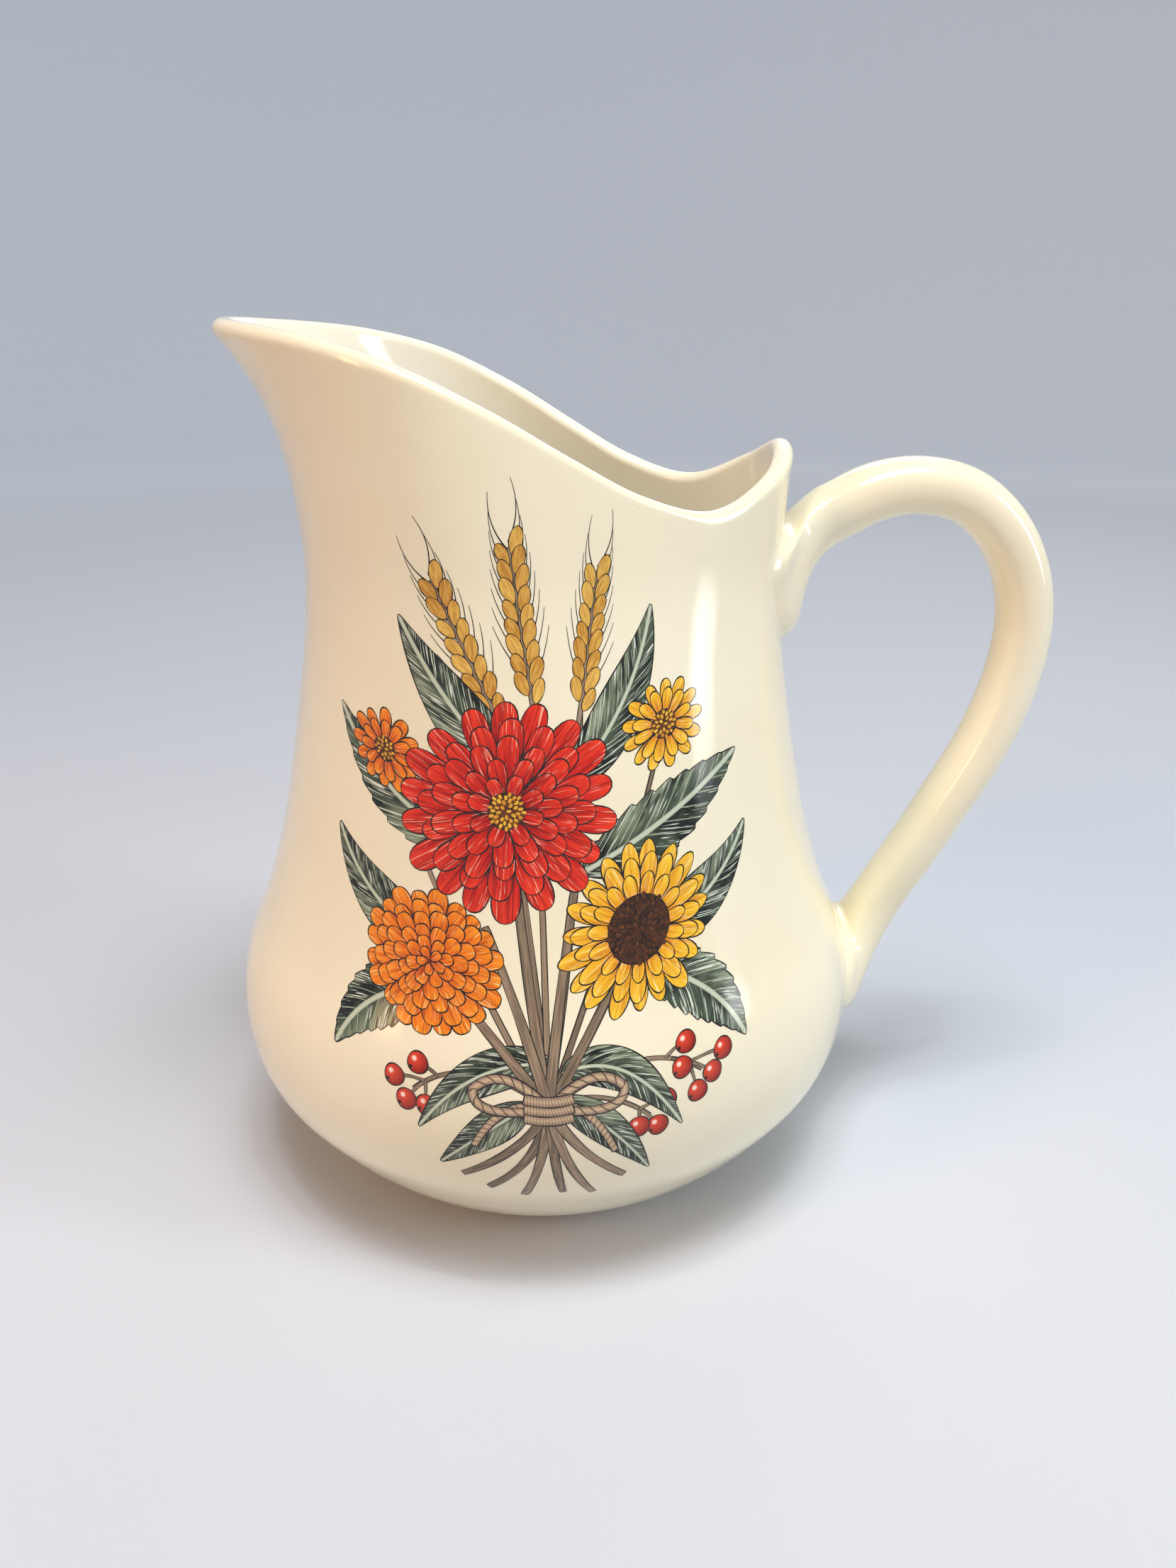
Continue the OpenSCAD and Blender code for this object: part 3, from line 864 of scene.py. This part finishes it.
sprig(TIE, (22, 72), (38, 60), [(41, 58.5), (37, 55), (33, 61.5), (44, 63), (34, 67)])
sprig(TIE, (13, 62), (25, 52), [(27, 49), (22.5, 49.5), (29, 55)])
sprig(TIE, (-15, 70), (-29, 58), [(-31, 55), (-34, 60), (-26, 54.5), (-28, 64)])
leaf((3, 66), (-15, 68), (-28, 49), 9)
leaf((5, 64), (20, 70), (33, 48), 9)
print(f"{len(drawing)} outlines so far")

# %% Stems and large flowers
RED, GOLD, ORANGE = (-7, 122), (23, 94), (-25, 87)
HEADS = ((RED, (-2, 78)), (GOLD, (10, 70)), (ORANGE, (-8, 70)), ((8, 104), (4, 78)), ((-12, 96), (-3, 74)))
for root, bend in HEADS:
    stem(TIE, bend, root, half=0.95)
for foot_end, bend in (
    ((-12, 33), (0, 43)), ((-4, 30), (1, 42)), ((5, 31), (3, 42)),
    ((12, 30), (5, 42)), ((19, 36), (8, 45)), ((-18, 37), (-3, 46)),
):
    stem(TIE, bend, foot_end, half=0.9)
leaf((4, 58), (17, 52), (25, 37), 8)
leaf((-2, 57), (-13, 50), (-23, 40), 8)
flower(GOLD, "yellow", [
    (19, 7, 13, 5.4, 0.55, 1.15), (19, 6.5, 10.5, 5, 0.55, 1.15), (15, 6, 7, 4, 0.6, 1.15),
], 0.9, 0.9, 20)
eye(GOLD, 7.8, "seed", 95, 0.72, 1.6, 0.9, 0.9)
flower(ORANGE, "orange", [
    (20, 8, 9.5, 5.8, 0.5, 0.75), (17, 6.4, 8.5, 5.6, 0.5, 0.75), (14, 4.6, 7.5, 5.2, 0.5, 0.75),
    (11, 3, 6, 4.6, 0.5, 0.75), (8, 1.5, 4.6, 3.8, 0.5, 0.75), (5, 0.4, 3.2, 2.8, 0.5, 0.8),
], 0.92, -0.4, 40)
flower(RED, "red", [
    (18, 10, 15.5, 7.8, 0.45, 0.9), (16, 8, 13, 7.2, 0.45, 0.9), (14, 6, 11, 6.4, 0.45, 0.9),
    (11, 4.2, 8.5, 5.4, 0.5, 0.9), (8, 2.4, 6.2, 4.4, 0.5, 0.9),
], 0.94, 0.3, 60)
eye(RED, 4, "gold_seed", 38, 0.58, 1.2, 0.94, 0.3, 0)
print(f"{len(drawing)} outlines so far")

# %% Twine, wound three times, with a bow in front
x, y = TIE
for end, bend in (((x - 17, y - 10), (x - 11, y + 3)), ((x + 15, y - 12), (x + 9, y + 3))):
    strip(bezier(TIE, bend, end), np.linspace(1, 0.7, 40), "twine")
for way in (-1, 1):
    turn_back = (x + way * 17, y + 4)
    there = bezier(TIE, (x + way * 10, y + 11), turn_back, 20)
    loop = np.vstack([there, bezier(turn_back, (x + way * 18, y - 3), TIE, 20)[1:]])
    strip(loop, np.full(len(loop), 0.95), "twine")
for up_by in (-2.2, 0, 2.2):
    winding = bezier((x - 5.4, y + up_by), (x, y - 1.4 + up_by), (x + 5.4, y + up_by), 14)
    strip(winding, np.full(14, 1.1), "twine")
print(f"the posy is {len(drawing)} outlines, {sum(len(d[0]) for d in drawing)} points")

# %% [markdown]
# ## The print: one thin film
#
# mathutils has the triangulation that the collage needs: it takes all the outlines' edges,
# cuts them where they cross, and joins the pieces up in small triangles. Each triangle then
# belongs to the last outline that its middle lies in, as the top paper of a collage. A grid
# of extra points keeps the triangles small, so that the film bends with the wall, 0.03 mm
# above it. Each corner also gets its place in its own petal or leaf, as a UV map: across
# from -1 to 1, and along from base to tip. The brush strokes follow it.

# %% Cut the outlines at their crossings
from mathutils.geometry import delaunay_2d_cdt

# The grid of extra points: mm between rows and in a row, and how far every second row shifts
ROW_GAP, POINT_GAP, SHIFT = 2, 2.2, 1.1
spots, edges = [], []
for points, *_ in drawing:
    first, n = len(spots), len(points)
    edges += [(first + k, first + (k + 1) % n) for k in range(n)]
    spots += [Vector(p) for p in points.round(4)]
low = np.min([outline[0].min(0) for outline in drawing], 0)
high = np.max([outline[0].max(0) for outline in drawing], 0)
for row, y in enumerate(np.arange(low[1] + 0.6, high[1], ROW_GAP)):
    spots += [Vector((x, y)) for x in np.arange(low[0] + 0.3 + (row % 2) * SHIFT, high[0], POINT_GAP)]
cut, _, faces, *_ = delaunay_2d_cdt(spots, edges, [], 0, 1e-5)
cut, faces = np.array(cut), np.array(faces)
middle = cut[faces].mean(1)
print(f"{len(cut)} points, {len(faces)} triangles, drawing from {low.round(1)} to {high.round(1)} mm")


# %% The topmost outline for each triangle
def winds(points, spots):
    """How often the outline winds round each spot: 0 means outside."""
    a, b = points[None], np.roll(points, -1, 0)[None]
    x, y = spots[:, :1], spots[:, 1:]
    left = (b[..., 0] - a[..., 0]) * (y - a[..., 1]) - (x - a[..., 0]) * (b[..., 1] - a[..., 1])
    climbs = (a[..., 1] <= y) & (b[..., 1] > y) & (left > 0)
    falls = (a[..., 1] > y) & (b[..., 1] <= y) & (left < 0)
    return climbs.sum(1) - falls.sum(1)


top = np.full(len(faces), -1)
for own in range(len(drawing) - 1, -1, -1):
    points = drawing[own][0]
    near = (top < 0) & (middle >= points.min(0)).all(1) & (middle <= points.max(0)).all(1)
    near = np.flatnonzero(near)
    top[near[winds(points, middle[near]) != 0]] = own
faces, top = faces[top >= 0], top[top >= 0]
print(f"{len(faces)} triangles hold paint")

# %% Place in the petal for each corner
corner = np.zeros((len(faces), 3, 2))
for own in np.unique(top):
    _, _, spine, half, _ = drawing[own]
    mine = top == own
    p = cut[faces[mine]].reshape(-1, 2)
    run = np.gradient(spine, axis=0)
    aside = unit(np.stack([-run[:, 1], run[:, 0]], 1))
    near = ((p[:, None] - spine[None]) ** 2).sum(2).argmin(1)
    gap = p - spine[near]
    across = (gap * aside[near]).sum(1) / max(half, 1e-6)
    length = np.concatenate([[0], np.cumsum(np.linalg.norm(np.diff(spine, axis=0), axis=1))])
    along = (length[near] + (gap * unit(run)[near]).sum(1)) / length[-1]
    corner[mine] = np.stack([across, along], 1).reshape(-1, 3, 2)
print(f"along runs from {corner[..., 1].min():.2f} to {corner[..., 1].max():.2f}")

# %% Lay the film on the wall
FILM = 0.03
PAINTS = ["ink", "red", "orange", "yellow", "leaf", "stem", "straw", "seed", "gold_seed", "berry", "twine"]
# Up on the film is measured along the side line, from the widest place
heights = np.linspace(4, 200, 800)
arc = np.concatenate([[0], np.cumsum(np.hypot(np.diff(heights), np.diff(side_r(heights))))])
arc += belly_z - np.interp(belly_z, heights, arc)
z = np.interp(cut[:, 1], arc, heights)
bearing = 270 + np.degrees(cut[:, 0] / side_r(z))
normals = wall_n(bearing, z)
mesh = bpy.data.meshes.new("flower_print")
mesh.from_pydata(((wall_p(bearing, z) + (FILM - INSET) * normals) * MM).tolist(), [], faces.tolist())
uv = mesh.uv_layers.new(name="stroke")
# Across is -1 to 1 between the edges of a petal, and is stored as 0 to 1. The paints undo that
squeeze, shift = np.tile([0.5, 1], len(faces) * 3), np.tile([0.5, 0], len(faces) * 3)
uv.data.foreach_set("uv", (corner.reshape(-1) * squeeze + shift).astype(np.float32))
tint = mesh.attributes.new("tint", "FLOAT", "FACE")
tint.data.foreach_set("value", np.array([drawing[own][4] for own in top], np.float32))
kinds = np.array([PAINTS.index(drawing[own][1]) for own in top], np.int32)
mesh.polygons.foreach_set("material_index", kinds)
mesh.shade_smooth()
mesh.normals_split_custom_set_from_vertices(normals.tolist())
print_film = new_object("flower_print", mesh)
print(f"the film has {len(mesh.polygons)} faces")

# %% [markdown]
# ## The print: its paints
#
# Ceramic colours are ground oxides under the same glossy glaze, so every paint keeps the
# glaze's roughness and relief, and only the colour differs. The hand of the painter is in
# the strokes: long streaks from the base of a petal to its tip, a darker root, a few thin
# light lines scratched in last. Noise stretched along the petal gives the streaks. Its scale
# is the petal's size over the stroke's, both in mm: a petal 6 mm wide and 12 mm long, and a
# stroke as wide as a fine brush. Each petal has its own tint value, so no two are alike.

# %% Sizes of what is painted, and its streaks
# Half width and length in mm
PETAL, STEM, GRAIN, SEED, SMALL_SEED = (3, 12), (0.8, 50), (1.5, 5.6), (0.6, 1.6), (0.4, 1.1)
LEAF_HALF, LEAF_LONG = 6, 30
# Moves each petal to its own part of the noise
APART = 53


def film_paint(name):
    """A paint with the glaze's gloss, and where it lies: across, along, and the petal's tint."""
    finish, tree, shader = new_finish(name, GLAZE_ROUGHNESS, GLAZE_IOR)
    glaze_relief(tree, shader)
    stroke = add(tree, SPLIT, add(tree, "ShaderNodeUVMap", uv_map="stroke"))
    across = add(tree, "MULTIPLY_ADD", stroke.outputs["X"], 2, -1)
    tint = add(tree, "ShaderNodeAttribute", attribute_name="tint").outputs["Fac"]
    return finish, tree, shader, (across, stroke.outputs["Y"], tint)


def streaks(tree, place, petal, stroke, low, high):
    """Streaks of this width and length along a petal: 0 between them, 1 in them."""
    spot = [
        add(tree, "MULTIPLY", place[0], petal[0] / stroke[0]),
        add(tree, "MULTIPLY", place[1], petal[1] / stroke[1]),
        add(tree, "MULTIPLY", place[2], APART),
    ]
    noise = add(tree, NOISE, {"Vector": add(tree, JOIN, *spot), "Scale": 1, "Detail": 2})
    return add(tree, RAMP, noise, low, high)


# %% Petal paints
# Ground oxides, streaked as a soft brush lays them. They give the eye a petal that is dark at
# its root and light at its tip, with streaks that show its bend
def petal_paint(name, root, middle, tip, dark, light):
    finish, tree, shader, place = film_paint(name)
    across, along, tint = place
    tip_share = add(tree, RAMP, along, 0.45, 1)
    tip_streaks = streaks(tree, place, PETAL, (1, 8), 0.3, 0.55)
    root_share = add(tree, "SUBTRACT", 1, add(tree, RAMP, along, 0.35, 0.95))
    root_streaks = streaks(tree, place, PETAL, (0.375, 17.1), 0.52, 0.6)
    scratched = across, along, add(tree, "ADD", tint, 3)
    coat(tree, shader, root, [
        (middle, add(tree, RAMP, along, 0, 0.45), 1),
        (tip, add(tree, "MULTIPLY", tip_share, tip_streaks), 1),
        (dark, streaks(tree, place, PETAL, (0.667, 13.3), 0.5, 0.62), 0.55),
        (dark, add(tree, "MULTIPLY", root_streaks, root_share), 1),
        (light, streaks(tree, scratched, PETAL, (0.333, 7.5), 0.62, 0.66), 0.85),
    ])
    return finish


finishes = {
    "red": petal_paint("red_petal_paint", "#7C100B", "#CE2214", "#EC3F20", "#7A0C0C", "#F7B9A0"),
    "orange": petal_paint("orange_petal_paint", "#B0400A", "#EC7410", "#F69A1C", "#A83A0E", "#FBD68E"),
    "yellow": petal_paint("yellow_petal_paint", "#D9701A", "#EFB01C", "#F8CE3A", "#C8741A", "#FCEFB4"),
}
print("petal paints:", ", ".join(finishes))


# %% Plain paints
# Ink is a black oxide, and gives each shape a thin dark edge as a pen does. The others are two
# browns or two golds in short strokes, and look like stalk, husk and seed
def plain_paint(name, first, second, size, stroke):
    """Two colours in streaks, with the tint leaning to one or the other."""
    finish, tree, shader, place = film_paint(name)
    half_of_them = add(tree, "MULTIPLY", streaks(tree, place, size, stroke, 0.4, 0.6), 0.5)
    share = add(tree, "MULTIPLY_ADD", place[2], 0.5, half_of_them)
    coat(tree, shader, first, [(second, share, 1)])
    return finish


finishes["ink"] = plain_paint("ink_line", "#1A1815", "#2B2723", PETAL, (0.75, 2))
finishes["stem"] = plain_paint("stem_paint", "#5B4F40", "#A48E74", STEM, (0.32, 10))
finishes["straw"] = plain_paint("straw_paint", "#B77C26", "#E8BE5E", GRAIN, (0.5, 2.8))
finishes["seed"] = plain_paint("seed_paint", "#23160F", "#6B3D1C", SEED, (0.3, 0.8))
finishes["gold_seed"] = plain_paint("gold_seed_paint", "#C47A18", "#F5CB45", SMALL_SEED, (0.2, 0.55))
print(len(finishes), "paints so far")


# %% Leaf paint
# Side veins on a leaf, and how many of their gaps they run forward from midrib to edge
VEINS, VEIN_SLANT = 9, 2.4


def off_stripe(tree, place):
    """Stripes at each whole number: 0.5 on a stripe, and 0 halfway to the next."""
    return add(tree, "ABSOLUTE", add(tree, "SUBTRACT", add(tree, "FRACT", place), 0.5))


def leaf_paint():
    """Black-green with a pale midrib, side veins and white hatching between them.

    It gives the eye a dark, stiff leaf, lit from one side. Side veins leave the midrib at a
    slant, every 3.3 mm on a leaf 30 mm long, and the hatching lies between them."""
    finish, tree, shader, place = film_paint("leaf_paint")
    across, along, tint = place
    aside = add(tree, "ABSOLUTE", across)
    slant = add(tree, "MULTIPLY", aside, VEIN_SLANT)
    vein_place = add(tree, "SUBTRACT", add(tree, "MULTIPLY", along, VEINS), slant)
    vein = off_stripe(tree, vein_place)
    gap = (LEAF_LONG / VEINS, LEAF_HALF)
    lit = streaks(tree, (vein_place, aside, tint), gap, (2.56, 5), 0.42, 0.6)
    scratched = vein_place, aside, add(tree, "ADD", tint, 5)
    hatch = streaks(tree, scratched, gap, (0.476, 3.75), 0.58, 0.63)
    lit = add(tree, "MULTIPLY", add(tree, RAMP, across, -0.1, 0.7), lit)
    hatch = add(tree, "MULTIPLY", hatch, add(tree, RAMP, aside, 0.1, 0.3))
    coat(tree, shader, "#1A1F19", [
        ("#485443", streaks(tree, place, (LEAF_HALF, LEAF_LONG), (4.29, 7.5), 0.42, 0.62), 1),
        ("#98A486", lit, 0.75),
        ("#D9E0D0", hatch, 1),
        ("#A9B89A", add(tree, RAMP, vein, 0.44, 0.48), 0.8),
        ("#C3CCB4", add(tree, RAMP, aside, 0.1, 0.05), 1),
    ])
    return finish


finishes["leaf"] = leaf_paint()
print("leaf paint:", len(finishes["leaf"].node_tree.nodes), "nodes")


# %% Berry and twine paints
# On a disc, along and across count radii from its middle, to the right and up. The berry's
# light spot lies this far to the left and as far up
SPOT = 0.35
# Dark lines along the twine, and how many of their gaps each slants from the middle to an edge
TWINE_TURNS, TURN_SLANT = 16, 0.35


def berry_paint():
    """Red that darkens away from a light spot, which gives the eye a small shiny ball."""
    finish, tree, shader, (across, along, _) = film_paint("berry_paint")
    aside = add(tree, "POWER", add(tree, "ADD", along, SPOT), 2)
    up = add(tree, "POWER", add(tree, "SUBTRACT", across, SPOT), 2)
    away = add(tree, "SQRT", add(tree, "ADD", aside, up))
    coat(tree, shader, "#DF4527", [
        ("#7E150F", add(tree, RAMP, away, 0.2, 1.5), 1),
        ("#F7D9C8", add(tree, RAMP, away, 0.3, 0.18), 1),
    ])
    return finish


def twine_paint():
    """Painted twine: grey-brown strands with dark lines between them, so that it looks round."""
    finish, tree, shader, (across, along, _) = film_paint("twine_paint")
    turns = add(tree, "MULTIPLY", along, TWINE_TURNS)
    slanted = add(tree, "MULTIPLY_ADD", across, TURN_SLANT, turns)
    twist = off_stripe(tree, slanted)
    coat(tree, shader, "#C9B08E", [
        ("#8C7466", add(tree, RAMP, add(tree, "ABSOLUTE", across), 0.1, 1), 1),
        ("#4A3A30", add(tree, RAMP, twist, 0.36, 0.46), 0.9),
    ])
    return finish


finishes["berry"], finishes["twine"] = berry_paint(), twine_paint()
for name in PAINTS:
    mesh.materials.append(finishes[name])
print("paints:", ", ".join(finish.name for finish in mesh.materials))

# %% [markdown]
# ## The bare foot
#
# The foot ring is wiped clean of glaze before firing, or the pot would stick to the kiln. It
# shows the clay: paler than it looks wet, matt, with fine grit, and grey where it has stood
# on shelves. The CAD solid already has the right shape, so it stays and only gets a finish.

# %% Bare fired clay
# Clay wiped with a sponge: matt and sandy to the eye. Real grit is too fine to show in the
# render, so it is drawn coarser, at 1.1 mm. Widths and heights are in mm
GRIT, GRIT_DEPTH, PATCH, WORN_HEIGHT = 1.11, 0.08, 16.7, 0.8
bare_clay, tree, shader = new_finish("bare_fired_clay", 0.85, 1.5)
place = add(tree, "ShaderNodeTexCoord").outputs["Object"]
grit = add(tree, NOISE, {"Vector": place, "Scale": 1 / (GRIT * MM), "Detail": 4, "Roughness": 0.7})
patches = add(tree, NOISE, {"Vector": place, "Scale": 1 / (PATCH * MM), "Detail": 2})
low_down = add(tree, RAMP, add(tree, SPLIT, place).outputs["Z"], WORN_HEIGHT * MM, 0)
worn = add(tree, "MULTIPLY", low_down, add(tree, RAMP, patches, 0.4, 0.6))
coat(tree, shader, "#C9BBA4", [
    ("#E2D8C6", add(tree, RAMP, grit, 0.35, 0.65), 1),
    ("#9F968A", worn, 1),
])
bump = add(tree, BUMP, {"Height": grit, "Strength": 1, "Distance": GRIT_DEPTH * MM})
tree.links.new(bump.outputs["Normal"], shader.inputs["Normal"])
foot = frame["nodes"]["foot"]
foot.data.materials.clear()
foot.data.materials.append(bare_clay)
print("clay on", foot.name)

# %% [markdown]
# ## Studio
#
# A pale, faintly blue floor that curves up into a wall all round, so that no view ends at an
# edge. The wall gets little of the light, so the camera sees it lit up a little by its own
# paint. The largest soft box hangs above and in front. Two at the sides are weaker, one
# neutral and one warm like a household lamp, and the weakest stands behind and gives the far
# side its light. So the top of every form is bright and its underside dark, which shows how
# round it is. Side and back boxes have a narrowed spread, which keeps their light off the
# floor close to them.
#
# A gloss as smooth as this one mirrors the boxes, and a box with hard edges would show as a
# window. So each fades to its edges, by its own place from 0 to 1 across and up, which the
# Parametric output gives. Two small lamps high up give the few sharp glints that the
# photograph shows in the mouth and on the belly.

# %% Floor and backdrop
# Metres: how far the floor is flat, the radius of its bend, and the height of the wall
FLAT, BEND, WALL_TOP = 1.8, 0.9, 1.6
line = [(r, 0) for r in (0.001, 0.2, 0.6, 1.2, FLAT)]
line += [(FLAT + BEND * math.sin(t), BEND - BEND * math.cos(t)) for t in np.radians(np.arange(10, 91, 10))]
line += [(FLAT + BEND, WALL_TOP)]
turns = np.radians(np.arange(0, 360, 5))
floor_rings = [[(r * math.cos(t) / MM, r * math.sin(t) / MM, z / MM) for t in turns] for r, z in line]
floor = skinned("floor", floor_rings, close_ends=False)
# Matt background paper: an even tone with no gloss. Its own light starts 0.3 m from the axis
floor_paper, tree, shader = new_finish("floor_paper", 0.9, 1.4)
PAPER, GLOW = paint("#CBD0D8"), 0.45
shader.inputs["Base Color"].default_value = PAPER
shader.inputs["Emission Color"].default_value = PAPER
far = add(tree, VECTOR_MATH, add(tree, "ShaderNodeTexCoord").outputs["Object"], operation="LENGTH")
ray = add(tree, "ShaderNodeLightPath").outputs
seen = add(tree, "MAXIMUM", ray["Is Camera Ray"], ray["Is Glossy Ray"])
glow = add(tree, "MULTIPLY", add(tree, RAMP, far, 0.3, 1.5), GLOW)
glow = add(tree, "MULTIPLY", seen, glow)
tree.links.new(glow.outputs[0], shader.inputs["Emission Strength"])
floor.data.materials.append(floor_paper)
print("floor:", len(floor.data.polygons), "faces")

# %% Lights
# The fading takes light away, and the gain gives it back
FADE_GAIN = 2.1
SIDE_SPREAD = 110


def soft_box(name, place, width, height, watts, tint="#FFFFFF", spread=180, target=(0, 0, 0.1)):
    """A lamp as wide and high as a soft box, which fades to its edges."""
    lamp = bpy.data.lights.new(name, "AREA")
    lamp.shape, lamp.size, lamp.size_y = "RECTANGLE", width, height
    lamp.energy, lamp.color = watts, paint(tint)[:3]
    lamp.spread = math.radians(spread)
    lamp.use_nodes = True
    tree = lamp.node_tree
    across = add(tree, SPLIT, add(tree, "ShaderNodeNewGeometry").outputs["Parametric"]).outputs
    shares = []
    for way in (across["X"], across["Y"]):
        off_middle = add(tree, "ABSOLUTE", add(tree, "SUBTRACT", way, 0.5))
        shares.append(add(tree, RAMP, off_middle, 0.5, 0.2, interpolation_type="SMOOTHSTEP"))
    faded = add(tree, "MULTIPLY", *shares)
    strength = add(tree, "MULTIPLY", faded, FADE_GAIN)
    tree.links.new(strength.outputs[0], tree.nodes["Emission"].inputs["Strength"])
    box = new_object(name, lamp)
    box.location = place
    box.rotation_euler = (Vector(target) - Vector(place)).to_track_quat("-Z", "Y").to_euler()


# Places and sizes in metres, power in watts
soft_box("top_box", (0.1, -0.28, 1.2), 0.9, 0.6, 10.4)
soft_box("right_box", (1.0, -0.35, 0.46), 0.25, 0.8, 1.5, spread=SIDE_SPREAD)
soft_box("warm_left_box", (-0.85, -0.6, 0.52), 0.3, 0.9, 1.6, "#FFC084", SIDE_SPREAD)
soft_box("back_box", (0.3, 1.2, 0.8), 0.8, 0.8, 0.8, spread=SIDE_SPREAD)
for name, place in (("glint_left", (-0.12, -0.25, 1.2)), ("glint_right", (0.12, -0.3, 1.2))):
    soft_box(name, place, 0.05, 0.05, 0.7)
sky = bpy.data.worlds.new("grey_sky")
sky.use_nodes = True
sky.node_tree.nodes["Background"].inputs["Color"].default_value = paint("#DDE2EA")
sky.node_tree.nodes["Background"].inputs["Strength"].default_value = 0.3
scene.world = sky
scene.view_settings.view_transform = "Standard"
print("lamps:", ", ".join(lamp.name for lamp in bpy.data.lights))

# %% [markdown]
# ## Ties to the CAD model
#
# The glazed skins stand for the CAD solids that they cover, and ride on the one body of the
# model. The dressed pitcher has to stay inside the CAD one.

# %% Tie the pieces to the CAD model
for piece, nodes in ((body, ["body"]), (handle, ["handle", "upper_root", "lower_root"])):
    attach(piece, "root")
    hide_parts(*nodes)
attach(print_film, "root")
